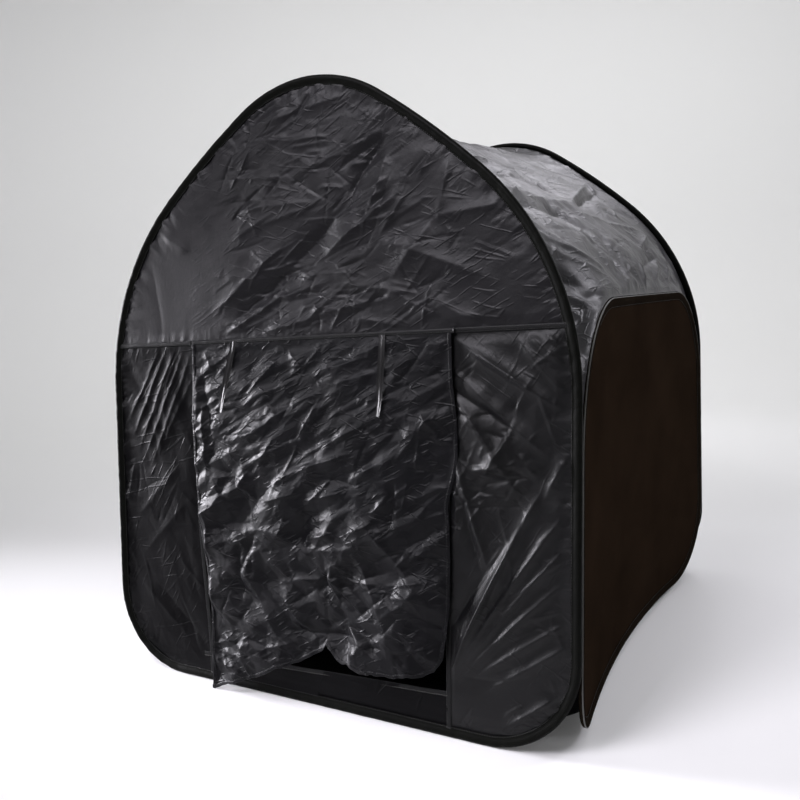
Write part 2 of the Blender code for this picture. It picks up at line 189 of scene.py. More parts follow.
def creases(x, y, seed, count, low, high, length, width, steep, direction, spread):
    """Scattered creases between two corners of a region."""
    rng = np.random.default_rng(seed)
    made = np.zeros(x.shape)
    for _ in range(count):
        centre = rng.uniform(low, high)
        angle = direction + rng.normal() * spread
        half = length * rng.uniform(0.35, 1.3) / 2
        across = width * rng.uniform(0.6, 1.5)
        height = across * steep * rng.uniform(0.4, 1.2) * rng.choice((-1, 1))
        step = half * np.array((cos(angle), sin(angle)))
        bow = half * rng.normal() * 0.08
        made += fold(x, y, centre - step, centre + step, across, height, bow, rng.uniform(-0.5, 0.5))
    return made


# Shape of the hoops and walls

def arch_at_turn(turn, inset):
    """Points of the arch that far round from its apex, and their outward directions."""
    turn = np.asarray(turn, float)
    centre = np.where(turn[..., None] <= CROWN_TURN, CROWN_CENTRE,
                      np.where(turn[..., None] <= FLANK_TURN, FLANK_CENTRE, SHOULDER_CENTRE))
    radius = np.where(turn <= CROWN_TURN, CROWN_RADIUS,
                      np.where(turn <= FLANK_TURN, FLANK_RADIUS, SHOULDER_RADIUS))
    normal = np.stack([np.sin(turn), np.cos(turn)], -1)
    return centre + (radius - inset)[..., None] * normal, normal


def arch_half_width(height, inset):
    """Half width of the arch at each height."""
    height = np.asarray(height, float)

    def circle(centre, radius):
        reach = radius - inset
        return centre[0] + np.sqrt(np.maximum(reach * reach - (height - centre[1]) ** 2, 0))

    flank_start = FLANK_CENTRE[1] + (FLANK_RADIUS - inset) * cos(FLANK_TURN)
    crown_start = CROWN_CENTRE[1] + (CROWN_RADIUS - inset) * cos(CROWN_TURN)
    width = np.full(height.shape, HALF_SPAN - inset)
    width = np.where(height < FOOT_CENTRE[1], circle(FOOT_CENTRE, FOOT_RADIUS), width)
    width = np.where(height > SHOULDER_CENTRE[1], circle(SHOULDER_CENTRE, SHOULDER_RADIUS), width)
    width = np.where(height > flank_start, circle(FLANK_CENTRE, FLANK_RADIUS), width)
    return np.where(height > crown_start, circle(CROWN_CENTRE, CROWN_RADIUS), width)


def wall_point(x, up, out, back=False):
    """A place on the front or back wall, out of its plane by a distance."""
    y = -DEPTH / 2 + up * sin(LEAN_ANGLE) - out * cos(LEAN_ANGLE)
    z = LIFT + up * cos(LEAN_ANGLE) + out * sin(LEAN_ANGLE)
    if back:
        return np.stack([-x, -y, z], -1)
    return np.stack([x, y, z], -1)


def seam_at(x):
    return SEAM_HEIGHT + SEAM_SLOPE * x


def side_point(hand, along, up, out=0.0):
    """A place on a side wall, which narrows upwards and bows inwards."""
    reach = 1 - LEAN * up / SIDE_REACH
    share = (up - SIDE_BOTTOM) / (SIDE_TOP - SIDE_BOTTOM)
    bow = SIDE_BOW_BOTTOM + (SIDE_BOW_TOP - SIDE_BOW_BOTTOM) * share
    bow = bow * (1 - (along / SIDE_REACH) ** 2)
    return np.stack([hand * (SIDE_PLANE - bow + out), along * reach, up + 0 * along], -1)


# Materials

CREASE_WIDTH = 0.0018

def cloth(name, colour, roughness, specular, crush=0.0, cell=0.020, angle=0.0, stretch=(6, 1, 1), calm=None,
          cross=-0.8):
    """Coated plain-weave cloth: dark, half glossy, with thin sharp creases and a faint weave.

    crush is how steep the creases are, cell how far apart; calm fades them out between two places across.
    """
    made = bpy.data.materials.new(name)
    made.use_nodes = True
    nodes = made.node_tree.nodes
    links = made.node_tree.links
    shader = nodes["Principled BSDF"]
    shader.inputs["Specular IOR Level"].default_value = specular
    place = nodes.new("ShaderNodeTexCoord").outputs["Object"]

    def noise(scale, detail):
        made = nodes.new("ShaderNodeTexNoise")
        made.inputs["Scale"].default_value = scale
        made.inputs["Detail"].default_value = detail
        links.new(place, made.inputs["Vector"])
        return made

    def spread(source, low, high, start=0.3, end=0.7):
        made = nodes.new("ShaderNodeMapRange")
        made.inputs["From Min"].default_value = start
        made.inputs["From Max"].default_value = end
        made.inputs["To Min"].default_value = low
        made.inputs["To Max"].default_value = high
        links.new(source, made.inputs["Value"])
        return made.outputs["Result"]

    def vector(operation, *sources):
        made = nodes.new("ShaderNodeVectorMath")
        made.operation = operation
        for k, source in enumerate(sources):
            if isinstance(source, tuple):
                made.inputs[k].default_value = source
            elif isinstance(source, float):
                made.inputs["Scale"].default_value = source
            else:
                links.new(source, made.inputs[k])
        return made.outputs["Value" if operation == "DOT_PRODUCT" else "Vector"]

    def times(source, factor):
        made = nodes.new("ShaderNodeMath")
        made.operation = "MULTIPLY"
        links.new(source, made.inputs[0])
        if isinstance(factor, float):
            made.inputs[1].default_value = factor
        else:
            links.new(factor, made.inputs[1])
        return made.outputs[0]

    def bump(source, depth, before=None):
        made = nodes.new("ShaderNodeBump")
        made.inputs["Strength"].default_value = 1.0
        made.inputs["Distance"].default_value = depth
        links.new(source, made.inputs["Height"])
        if before:
            links.new(before, made.inputs["Normal"])
        return made.outputs["Normal"]

    def thin_creases(size, turn, before):
        """A net of thin straight creases that come and go."""
        warp = vector("SCALE", vector("SUBTRACT", noise(0.35 / size, 2).outputs["Color"], (0.5, 0.5, 0.5)), size * 0.5)
        turned = nodes.new("ShaderNodeMapping")
        turned.vector_type = "TEXTURE"
        turned.inputs["Rotation"].default_value = (0, -turn, 0)
        turned.inputs["Scale"].default_value = stretch
        links.new(vector("ADD", place, warp), turned.inputs["Vector"])
        cells = nodes.new("ShaderNodeTexVoronoi")
        cells.feature = "DISTANCE_TO_EDGE"
        cells.inputs["Scale"].default_value = 1 / size
        links.new(turned.outputs["Vector"], cells.inputs["Vector"])
        line = spread(cells.outputs["Distance"], CREASE_WIDTH * crush, 0.0, 0.0, CREASE_WIDTH / size)
        height = times(line, spread(noise(0.5 / size, 2).outputs["Fac"], 0.0, 1.0, 0.48, 0.64))
        if calm:
            split = nodes.new("ShaderNodeSeparateXYZ")
            links.new(place, split.inputs[0])
            height = times(height, spread(split.outputs["X"], 0.10, 1.0, *calm))
        return bump(height, 1.0, before)

    tint = vector("SCALE", colour, 1.0)
    links.new(spread(noise(7, 5).outputs["Fac"], 0.80, 1.2), tint.node.inputs["Scale"])
    links.new(tint, shader.inputs["Base Color"])
    links.new(spread(noise(30, 4).outputs["Fac"], roughness - 0.05, roughness + 0.06), shader.inputs["Roughness"])
    normal = bump(noise(1400, 1).outputs["Fac"], 0.00006)
    normal = bump(noise(150, 3).outputs["Fac"], 0.00030, normal)
    if crush:
        normal = thin_creases(cell * 1.5, angle + cross, normal)
        normal = thin_creases(cell, angle, normal)
    links.new(normal, shader.inputs["Normal"])
    return made


# The front cloths below are one black coated cloth in lit and shaded copies. Their colour and gloss differ only to
# paint the light and shade each panel gets: the upper and right front are glossier as painted light, the upper front is
# also lighter, and the left and sill panels are darker and duller as painted shade.
UPPER = cloth("front_upper_cloth", (0.0044, 0.0040, 0.0052), 0.44, 0.20, 0.40, 0.018, 0.50, (7, 7, 1), (-0.32, -0.16))
FRONT = cloth("front_cloth", (0.0024, 0.0023, 0.0027), 0.44, 0.05, 0.30, 0.024, 1.0, (7, 7, 1))
FRONT_RIGHT = cloth("front_right_cloth", (0.0026, 0.0025, 0.0030), 0.42, 0.20, 0.28, 0.024, -0.6, (7, 7, 1), None, 1.6)
FLAP = cloth("flap_cloth", (0.0024, 0.0023, 0.0032), 0.44, 0.13, 0.50, 0.014, 0.5, (4, 4, 1))
BACK = cloth("back_cloth", (0.0050, 0.0048, 0.0056), 0.38, 0.22, 0.30, 0.026)
# The roof is the same black cloth, given a lighter colour and more gloss as painted light falling from above.
ROOF = cloth("roof_cloth", (0.0110, 0.0106, 0.0126), 0.42, 0.34, 0.40, 0.020, 0.3, (1, 5, 1))
# The side cloth is the same black cloth. Its brown tone is painted light shining through it, and it has no gloss so
# that the side walls stay dark as painted shade.
SIDE = cloth("side_cloth", (0.0140, 0.0090, 0.0058), 0.60, 0.0)
SLEEVE = cloth("sleeve_cloth", (0.0022, 0.0024, 0.0018), 0.48, 0.05)
# The side sleeves copy the side cloth's brown tone and lack of gloss, as the same painted light and painted shade.
SIDE_SLEEVE = cloth("side_sleeve_cloth", (0.0100, 0.0076, 0.0056), 0.55, 0.0)
# Pale colour for a thin tube along the side sleeves' outer rim: a painted rim highlight.
PAINTED_RIM_HIGHLIGHT = cloth("painted_rim_highlight", (0.0900, 0.0900, 0.0850), 0.55, 0.20)
TAPE = cloth("seam_tape", (0.0042, 0.0042, 0.0045), 0.40, 0.16)
FLOOR = cloth("floor_cloth", (0.0060, 0.0060, 0.0065), 0.55, 0.1)
RIBBON = cloth("tie_ribbon", (0.0110, 0.0106, 0.0112), 0.34, 0.26)
THREAD = cloth("thread", (0.0250, 0.0250, 0.0248), 0.50, 0.20)
# Thread for the sill hem only: the stitches are real, their pale colour is a painted highlight line along the hem.
SILL_HIGHLIGHT_THREAD = cloth("sill_hem_highlight_thread", (0.1300, 0.1280, 0.1200), 0.50, 0.20)


# Making pieces

def add_mesh(name, points, faces, look, body):
    mesh = bpy.data.meshes.new(name)
    mesh.from_pydata(points.reshape(-1, 3).tolist(), [], faces.tolist())
    mesh.update()
    mesh.shade_smooth()
    mesh.materials.append(look)
    made = bpy.data.objects.new(name, mesh)
    bpy.context.collection.objects.link(made)
    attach(made, body)
    return made


def grid_faces(rows, columns, wrap_rows=False, wrap_columns=False, first=0):
    """Quads over a grid of points, closed round where asked."""
    i = np.arange(rows if wrap_rows else rows - 1)
    j = np.arange(columns if wrap_columns else columns - 1)
    a, b = np.meshgrid(i, j, indexing="ij")
    c = (a + 1) % rows
    d = (b + 1) % columns
    quads = np.stack([a * columns + b, a * columns + d, c * columns + d, c * columns + b], -1)
    return quads.reshape(-1, 4) + first


def grid_piece(name, points, look, slot, body="tent", flip=False, **wrap):
    faces = grid_faces(points.shape[0], points.shape[1], **wrap)
    if flip:
        faces = faces[:, ::-1]
    return add_mesh(name, points, faces, look, body)


def steps_for(length, step=STEP):
    return max(4, int(round(length / step)))


# Distances along the arch

def edge_place(x, up):
    """How far inside the arch's outline each place is, and how far round it from the apex."""
    ax = np.abs(x)
    crown = np.stack([ax - CROWN_CENTRE[0], up - CROWN_CENTRE[1]], -1)
    flank = np.stack([ax - FLANK_CENTRE[0], up - FLANK_CENTRE[1]], -1)
    shoulder = np.stack([ax - SHOULDER_CENTRE[0], up - SHOULDER_CENTRE[1]], -1)
    foot = np.stack([ax - FOOT_CENTRE[0], up - FOOT_CENTRE[1]], -1)
    crown_turn = np.arctan2(crown[..., 0], crown[..., 1])
    flank_turn = np.arctan2(flank[..., 0], flank[..., 1])
    shoulder_turn = np.arctan2(shoulder[..., 0], shoulder[..., 1])
    crown_run = CROWN_RADIUS * CROWN_TURN
    flank_run = crown_run + FLANK_RADIUS * (FLANK_TURN - CROWN_TURN)
    shoulder_run = flank_run + SHOULDER_RADIUS * (pi / 2 - FLANK_TURN)
    inside = HALF_SPAN - ax
    run = shoulder_run + SHOULDER_CENTRE[1] - up
    in_foot = (foot[..., 0] > 0) & (foot[..., 1] < 0)
    inside = np.where(in_foot, FOOT_RADIUS - np.hypot(foot[..., 0], foot[..., 1]), inside)
    inside = np.minimum(inside, up)
    upper = up > SHOULDER_CENTRE[1]
    inside = np.where(upper, SHOULDER_RADIUS - np.hypot(shoulder[..., 0], shoulder[..., 1]), inside)
    run = np.where(upper, flank_run + SHOULDER_RADIUS * (shoulder_turn - FLANK_TURN), run)
    on_flank = upper & (flank_turn < FLANK_TURN)
    inside = np.where(on_flank, FLANK_RADIUS - np.hypot(flank[..., 0], flank[..., 1]), inside)
    run = np.where(on_flank, crown_run + FLANK_RADIUS * (flank_turn - CROWN_TURN), run)
    on_crown = upper & (crown_turn < CROWN_TURN)
    inside = np.where(on_crown, CROWN_RADIUS - np.hypot(crown[..., 0], crown[..., 1]), inside)
    run = np.where(on_crown, CROWN_RADIUS * crown_turn, run)
    return inside, run * np.sign(x + 1e-9)


def puckers(run, inside, pitch, height, depth, seed):
    """Small gathers that die away from a sewn edge."""
    along = soft_noise(run, 0.3 * inside, pitch, seed) + 0.6 * soft_noise(run, 0.3 * inside, pitch * 0.45, seed + 1)
    return height * along * np.exp(-np.maximum(inside, 0) / depth)


# Creases of the front wall, read from the photograph: start, end, width, height, bow, lean
UPPER_FOLDS = [
    ((-0.24, 0.742), (0.125, 1.025), 0.024, -0.0100, -0.012, 0.35),
    ((-0.255, 0.775), (-0.055, 0.925), 0.016, 0.0050, 0.006, 0.0),
    ((0.080, 0.985), (0.190, 1.120), 0.016, -0.0070, 0.006, 0.2),
    ((0.015, 0.880), (0.225, 1.012), 0.017, 0.0080, 0.004, -0.3),
    ((0.095, 0.935), (0.195, 1.018), 0.010, -0.0050, 0.0, 0.0),
    ((0.152, 0.918), (0.225, 1.008), 0.008, 0.0030, 0.0, 0.0),
    ((0.075, 1.075), (0.190, 1.168), 0.012, 0.0040, 0.0, 0.0),
    ((-0.225, 1.062), (-0.045, 1.049), 0.009, 0.0028, 0.002, 0.2),
    ((-0.065, 1.045), (0.190, 1.125), 0.013, 0.0040, -0.003, 0.2),
    ((-0.220, 1.080), (-0.095, 1.074), 0.006, -0.0020, 0.0, 0.0),
    ((-0.170, 1.135), (0.030, 1.113), 0.008, 0.0026, 0.0, 0.0),
    ((-0.130, 1.152), (0.125, 1.193), 0.012, 0.0040, 0.004, 0.0),
    ((-0.170, 1.152), (-0.035, 1.213), 0.009, -0.0036, 0.003, 0.0),
    ((-0.142, 1.155), (-0.030, 1.190), 0.007, 0.0026, 0.0, 0.0),
    ((-0.205, 0.930), (-0.065, 0.992), 0.009, 0.0030, 0.003, 0.0),
    ((-0.220, 1.016), (-0.050, 1.012), 0.008, -0.0024, 0.0, 0.0),
    ((-0.215, 0.992), (0.030, 0.998), 0.011, 0.0034, 0.004, 0.0),
    ((-0.125, 0.962), (0.010, 0.992), 0.009, 0.0030, 0.0, 0.0),
    ((-0.110, 0.810), (0.060, 0.850), 0.011, 0.0038, 0.0, 0.0),
    ((-0.095, 0.808), (0.190, 0.823), 0.008, -0.0030, 0.002, 0.0),
    ((-0.020, 0.765), (0.095, 0.845), 0.010, 0.0038, 0.0, 0.2),
    ((0.060, 0.840), (0.255, 0.812), 0.009, 0.0034, 0.0, 0.0),
    ((0.075, 0.765), (0.195, 0.832), 0.009, -0.0032, 0.0, 0.0),
    ((-0.235, 0.738), (-0.055, 0.832), 0.010, 0.0050, -0.003, 0.0),
    ((-0.135, 0.746), (0.040, 0.783), 0.009, 0.0040, 0.0, 0.0),
    ((0.000, 0.778), (0.195, 0.813), 0.008, 0.0030, 0.0, 0.0),
    ((0.085, 0.776), (0.235, 0.750), 0.008, 0.0032, 0.0, 0.0),
    ((0.150, 0.835), (0.285, 0.770), 0.011, 0.0040, 0.0, 0.0),
    ((0.235, 1.015), (0.292, 1.090), 0.008, 0.0030, 0.0, 0.0),
    ((0.305, 1.060), (0.278, 0.935), 0.016, 0.0044, 0.0, 0.0),
    ((0.180, 1.085), (0.130, 0.945), 0.018, 0.0044, 0.0, 0.0),
    ((0.120, 0.925), (0.410, 0.822), 0.020, 0.0050, 0.006, 0.0),
    ((0.245, 0.815), (0.390, 0.740), 0.018, 0.0050, 0.0, 0.0),
    ((0.250, 0.948), (0.420, 0.964), 0.016, 0.0040, 0.0, 0.0),
    ((0.175, 0.835), (0.275, 0.950), 0.018, 0.0040, 0.0, 0.0),
    ((-0.395, 0.965), (-0.300, 0.918), 0.010, 0.0026, 0.0, 0.0),
    ((-0.428, 0.925), (-0.392, 0.722), 0.010, -0.0008, 0.004, 0.4),
    ((-0.075, 0.890), (0.020, 0.848), 0.009, 0.0030, 0.0, 0.0),
    ((0.055, 0.882), (0.107, 0.832), 0.008, 0.0028, 0.0, 0.0),
    ((-0.245, 0.868), (-0.075, 0.853), 0.008, 0.0024, 0.0, 0.0),
    ((-0.150, 0.920), (-0.090, 0.878), 0.008, 0.0028, 0.0, 0.0),
]
LEFT_FOLDS = [
    ((-0.400, 0.730), (-0.515, 0.545), 0.0085, 0.0050, 0.004, 0.0),
    ((-0.380, 0.735), (-0.500, 0.510), 0.0085, 0.0055, 0.005, 0.0),
    ((-0.356, 0.737), (-0.484, 0.480), 0.0090, 0.0055, 0.006, 0.0),
    ((-0.328, 0.738), (-0.466, 0.460), 0.0095, 0.0055, 0.006, 0.0),
    ((-0.305, 0.735), (-0.448, 0.440), 0.0100, 0.0050, 0.006, 0.0),
    ((-0.300, 0.680), (-0.430, 0.460), 0.0110, 0.0040, 0.003, 0.0),
    ((-0.340, 0.475), (-0.495, 0.332), 0.0140, 0.0040, 0.0, 0.0),
    ((-0.320, 0.400), (-0.480, 0.250), 0.0170, 0.0040, 0.0, 0.0),
    ((-0.495, 0.205), (-0.350, 0.090), 0.0150, 0.0050, 0.0, 0.0),
    ((-0.440, 0.200), (-0.280, 0.062), 0.0140, -0.0050, 0.0, 0.0),
    ((-0.492, 0.470), (-0.522, 0.350), 0.0080, 0.0030, 0.0, 0.0),
    ((-0.530, 0.180), (-0.480, 0.060), 0.0110, 0.0040, 0.0, 0.0),
]
RIGHT_FOLDS = [
    ((0.295, 0.687), (0.500, 0.520), 0.0120, 0.0050, 0.0, 0.2),
    ((0.300, 0.645), (0.445, 0.560), 0.0100, -0.0040, 0.0, 0.0),
    ((0.295, 0.742), (0.535, 0.597), 0.0140, 0.0050, 0.0, 0.0),
    ((0.330, 0.720), (0.475, 0.631), 0.0090, 0.0030, 0.0, 0.0),
    ((0.435, 0.755), (0.535, 0.665), 0.0110, 0.0040, 0.0, 0.0),
    ((0.420, 0.742), (0.540, 0.612), 0.0100, 0.0036, 0.0, 0.0),
    ((0.470, 0.750), (0.528, 0.698), 0.0080, 0.0030, 0.0, 0.0),
    ((0.300, 0.560), (0.376, 0.312), 0.0120, 0.0060, 0.0, 0.3),
    ((0.310, 0.480), (0.362, 0.300), 0.0090, -0.0040, 0.0, 0.0),
    ((0.285, 0.095), (0.440, 0.400), 0.0090, 0.0060, 0.004, 0.0),
    ((0.288, 0.095), (0.485, 0.495), 0.0090, 0.0060, 0.006, 0.0),
    ((0.292, 0.096), (0.532, 0.460), 0.0095, 0.0060, 0.006, 0.0),
    ((0.295, 0.096), (0.540, 0.405), 0.0095, 0.0055, 0.006, 0.0),
    ((0.305, 0.100), (0.520, 0.325), 0.0095, 0.0055, 0.004, 0.0),
    ((0.325, 0.103), (0.540, 0.262), 0.0100, 0.0050, 0.004, 0.0),
    ((0.360, 0.094), (0.540, 0.222), 0.0100, 0.0045, 0.0, 0.0),
    ((0.400, 0.040), (0.515, 0.125), 0.0100, 0.0045, 0.0, 0.0),
    ((0.290, 0.195), (0.378, 0.335), 0.0090, -0.0045, 0.0, 0.0),
    ((0.300, 0.640), (0.436, 0.450), 0.0170, 0.0080, 0.006, 0.4),
    ((0.430, 0.590), (0.362, 0.476), 0.0080, 0.0036, 0.0, 0.0),
    ((0.330, 0.496), (0.434, 0.515), 0.0080, 0.0036, 0.0, 0.0),
    ((0.426, 0.542), (0.468, 0.488), 0.0070, 0.0030, 0.0, 0.0),
    ((0.348, 0.472), (0.462, 0.497), 0.0070, -0.0030, 0.0, 0.0),
    ((0.474, 0.450), (0.528, 0.548), 0.0090, 0.0040, 0.0, 0.0),
]


def front_relief(x, up):
    """How far the front cloth stands out of its plane."""
    inside, run = edge_place(x, up)
    above = up - seam_at(x)
    if above.mean() > 0:
        relief = upper_relief(x, up)
    else:
        relief = left_relief(x, up) if x.mean() < -0.1 else right_relief(x, up)
    relief += 0.0030 * soft_noise(x, up, 0.16, 24)
    seam_near = np.abs(above) - 0.004
    relief = relief * smooth((inside - 0.014) / 0.030) * smooth(seam_near / 0.022)
    relief += puckers(run, inside - 0.018, 0.016, 0.0020, 0.022, 31) * smooth((inside - 0.012) / 0.008)
    pull = puckers(x + np.sign(above), np.maximum(seam_near, 0), 0.014, 0.0007, 0.018, 33)
    return relief + pull * smooth(seam_near / 0.003) * smooth((inside - 0.012) / 0.010)


def folds_of(table, x, up):
    return sum(fold(x, up, start, end, width, height, bow, lean) for start, end, width, height, bow, lean in table)


def upper_relief(x, up):
    busy = smooth((x + 0.30) / 0.14) * (1 - 0.45 * smooth((x - 0.20) / 0.15))
    relief = 1.20 * folds_of(UPPER_FOLDS, x, up)
    relief += (0.10 + busy) * 0.0016 * facets(x, up, 0.050, 21, 0.72, 3.6)
    relief += (0.10 + busy) * 0.0010 * facets(x, up, 0.024, 22, 0.35, 3.4)
    relief += (0.08 + busy) * 0.00035 * facets(x, up, 0.009, 23, 0.10, 2.5)
    thin = creases(x, up, 11, 70, (-0.24, 0.74), (0.36, 1.2), 0.14, 0.0024, 0.75, 0.30, 0.35)
    thin += creases(x, up, 14, 50, (-0.24, 0.74), (0.36, 1.2), 0.12, 0.0024, 0.75, 0.95, 0.50)
    thin += creases(x, up, 15, 36, (-0.20, 0.74), (0.25, 0.88), 0.13, 0.0028, 0.80, 0.15, 0.35)
    thin += creases(x, up, 16, 26, (-0.24, 0.98), (0.12, 1.2), 0.14, 0.0028, 0.80, 0.15, 0.35)
    return relief + busy * thin


def left_relief(x, up):
    relief = 0.7 * folds_of(LEFT_FOLDS, x, up)
    relief += 0.0022 * facets(x, up, 0.045, 41, 2.2, 3.5) + 0.0010 * facets(x, up, 0.018, 42, 1.9, 3.0)
    relief += creases(x, up, 12, 24, (-0.53, 0.05), (-0.30, 0.72), 0.14, 0.0026, 0.35, -1.0, 0.5)
    return relief + creases(x, up, 17, 20, (-0.53, 0.35), (-0.35, 0.72), 0.10, 0.0024, 0.45, 1.0, 0.4)


def right_relief(x, up):
    relief = 1.9 * folds_of(RIGHT_FOLDS, x, up)
    busy = 0.30 + 0.70 * smooth((0.62 - np.abs(up - 0.42) * 2) / 0.25)
    relief += busy * (0.0024 * facets(x, up, 0.040, 43, 0.9, 3.0) + 0.0012 * facets(x, up, 0.018, 44, 0.8, 2.6))
    relief += creases(x, up, 13, 46, (0.29, 0.04), (0.53, 0.72), 0.14, 0.0030, 0.75, 0.9, 0.6)
    return relief + creases(x, up, 18, 30, (0.29, 0.36), (0.48, 0.60), 0.07, 0.0026, 0.80, 0.5, 1.0)


def front_cloth(name, node, low, high, left, right, taper_left=0.0, taper_right=0.0, look=FRONT):
    """A cloth of the front wall between two heights and two edges, all given as functions."""
    middle = np.array([0.0])
    rows = steps_for(float(np.max(high(middle)) - np.min(low(middle))))
    t = np.linspace(0, 1, rows + 1)[:, None]
    span = float(np.max(right(np.array([0.5]))) - np.min(left(np.array([0.5]))))
    s = np.linspace(0, 1, steps_for(max(span, 0.2)) + 1)[None, :]
    x = np.zeros((t.shape[0], s.shape[1]))
    up = low(x) + (high(x) - low(x)) * t
    for _ in range(3):
        x = left(up) + (right(up) - left(up)) * s
        up = low(x) + (high(x) - low(x)) * t
    out = front_relief(x, up)
    if taper_left:
        out = out * smooth((x - left(up)) / taper_left)
    if taper_right:
        out = out * smooth((right(up) - x) / taper_right)
    piece = grid_piece(name, wall_point(x, up, out), look, "front_cloth")
    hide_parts(node)
    return piece


CLOTH_INSET = 0.0145
DOOR_SAG = 0.026
SILL_LEFT_DROP = 0.0424


def arch_right(up):
    return arch_half_width(up, CLOTH_INSET)


def arch_left(up):
    return -arch_right(up)


def sill_top(x):
    return SILL_TOP - 0.0098 + SILL_LEFT_DROP * x


def door_left(up):
    """The doorway's left edge, which hangs in towards its foot."""
    return DOOR_LEFT + DOOR_SAG * (1 - smooth(up / 0.42))


upper = front_cloth("front_upper", "front_upper_panel", seam_at,
                    lambda x: HOOP_HEIGHT - CLOTH_INSET - 0.0006 + 0 * x, arch_left, arch_right, look=UPPER)
left = front_cloth("front_left", "front_left_panel", lambda x: CLOTH_INSET + 0.0006 + 0 * x, seam_at,
                   arch_left, door_left, taper_right=0.03)
right = front_cloth("front_right", "front_right_panel", lambda x: CLOTH_INSET + 0.0006 + 0 * x, seam_at,
                    lambda up: DOOR_RIGHT + 0 * up, arch_right, taper_left=0.02, look=FRONT_RIGHT)
sill = front_cloth("front_sill", "front_sill_panel", lambda x: CLOTH_INSET + 0.0006 + 0 * x, sill_top,
                   lambda up: DOOR_LEFT + 0 * up, lambda up: DOOR_RIGHT + 0 * up)


# Strips of folded tape, sewn over the cloths' edges

def strip(name, along, across, normal, half_width, half_thick, look, slot, body="tent", ripple=0.0003, seed=50):
    """A flat closed strip round a line of points, with soft edges."""
    points = len(along)
    turn = np.linspace(0, 2 * pi, 12, endpoint=False)
    wide = np.sign(np.cos(turn)) * np.abs(np.cos(turn)) ** 0.5
    thick = np.sign(np.sin(turn)) * np.abs(np.sin(turn)) ** 0.6
    run = np.concatenate([[0], np.cumsum(np.linalg.norm(np.diff(along, axis=0), axis=1))])
    wave = ripple * soft_noise(run, 0 * run, 0.012, seed)[:, None, None]
    ring = (along[:, None, :] + across[:, None, :] * (half_width * wide)[None, :, None]
            + normal[:, None, :] * ((half_thick * thick)[None, :, None] + wave))
    made = grid_piece(name, ring, look, slot, body, wrap_columns=True)
    mesh = made.data
    ends = [list(range(12)), list(range((points - 1) * 12, points * 12))]
    made.data.materials.clear()
    mesh = bpy.data.meshes.new(name)
    faces = [tuple(f.vertices) for f in made.data.polygons] + [tuple(ends[0]), tuple(reversed(ends[1]))]
    mesh.from_pydata(ring.reshape(-1, 3).tolist(), [], faces)
    mesh.update()
    mesh.shade_smooth()
    mesh.materials.append(look)
    made.data = mesh
    return made


def stitches(name, along, across, normal, look, body="tent", pitch=0.0050, length=0.0034, thick=0.00045):
    """A row of thread dashes on a line of points."""
    run = np.concatenate([[0], np.cumsum(np.linalg.norm(np.diff(along, axis=0), axis=1))])
    starts = np.arange(pitch / 2, run[-1] - length, pitch)
    corners = []
    for share, size in ((0.0, 0.5), (0.5, 1.0), (1.0, 0.5)):
        at = starts + share * length
        here = np.stack([np.interp(at, run, along[:, k]) for k in range(3)], -1)
        side = np.stack([np.interp(at, run, across[:, k]) for k in range(3)], -1) * thick * size
        up = np.stack([np.interp(at, run, normal[:, k]) for k in range(3)], -1) * thick * size
        corners.append(np.stack([here - side, here + up, here + side, here - up], 1))
    points = np.stack(corners, 1)
    count = len(starts)
    faces = []
    for ring in range(2):
        for k in range(4):
            a = ring * 4 + k
            b = ring * 4 + (k + 1) % 4
            faces.append((a, b, b + 4, a + 4))
    faces += [(3, 2, 1, 0), (8, 9, 10, 11)]
    faces = (np.array(faces)[None] + 12 * np.arange(count)[:, None, None]).reshape(-1, 4)
    return add_mesh(name, points, faces, look, body)


def on_wall(x, up, out, back=False):
    """Points on a wall with the wall's across and outward directions there."""
    along = wall_point(x, up, out, back)
    turned = np.gradient(along, axis=0)
    turned = turned / np.linalg.norm(turned, axis=1)[:, None]
    outward = np.array((0, -cos(LEAN_ANGLE), sin(LEAN_ANGLE))) * np.array((1, -1 if back else 1, 1))
    outward = np.tile(outward, (len(along), 1))
    return along, np.cross(outward, turned), outward


def wall_strip(name, node, x, up, out, half_width, look=TAPE, slot="seam_tape", back=False, rows=(0.7,),
               thread=THREAD):
    along, across, outward = on_wall(x, up, out, back)
    made = strip(name, along, across, outward, half_width, 0.0011, look, slot)
    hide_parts(node)
    for k, place in enumerate(rows):
        line = along + across * half_width * place + outward * 0.0013
        stitches(f"{name}_thread_{k}", line, across, outward, thread)
    return made


seam_reach = 0.5285
seam_x = np.linspace(-seam_reach, seam_reach, steps_for(2 * seam_reach, 0.004))
wall_strip("front_seam", "front_seam_tape", seam_x, seam_at(seam_x), 0.0012 + 0 * seam_x, 0.0048, rows=(0.62, -0.62))
sill_x = np.linspace(DOOR_LEFT, DOOR_RIGHT, steps_for(0.6, 0.004))
# The sill hem's stitches are pale as a painted highlight line along the hem.
wall_strip("sill_hem", "sill_top_hem", sill_x, sill_top(sill_x) - 0.004, 0.0006 + 0 * sill_x, 0.0052, rows=(-0.6,),
           thread=SILL_HIGHLIGHT_THREAD)
door_up = np.linspace(0.016, 0.728, steps_for(0.71, 0.004))
wall_strip("binding_left", "door_binding_left", door_left(door_up) - 0.002, door_up, 0.0006 + 0 * door_up, 0.0050)
wall_strip("binding_right", "door_binding_right", DOOR_RIGHT + 0.002 + 0 * door_up, door_up, 0.0006 + 0 * door_up,
           0.0050)


# Back wall

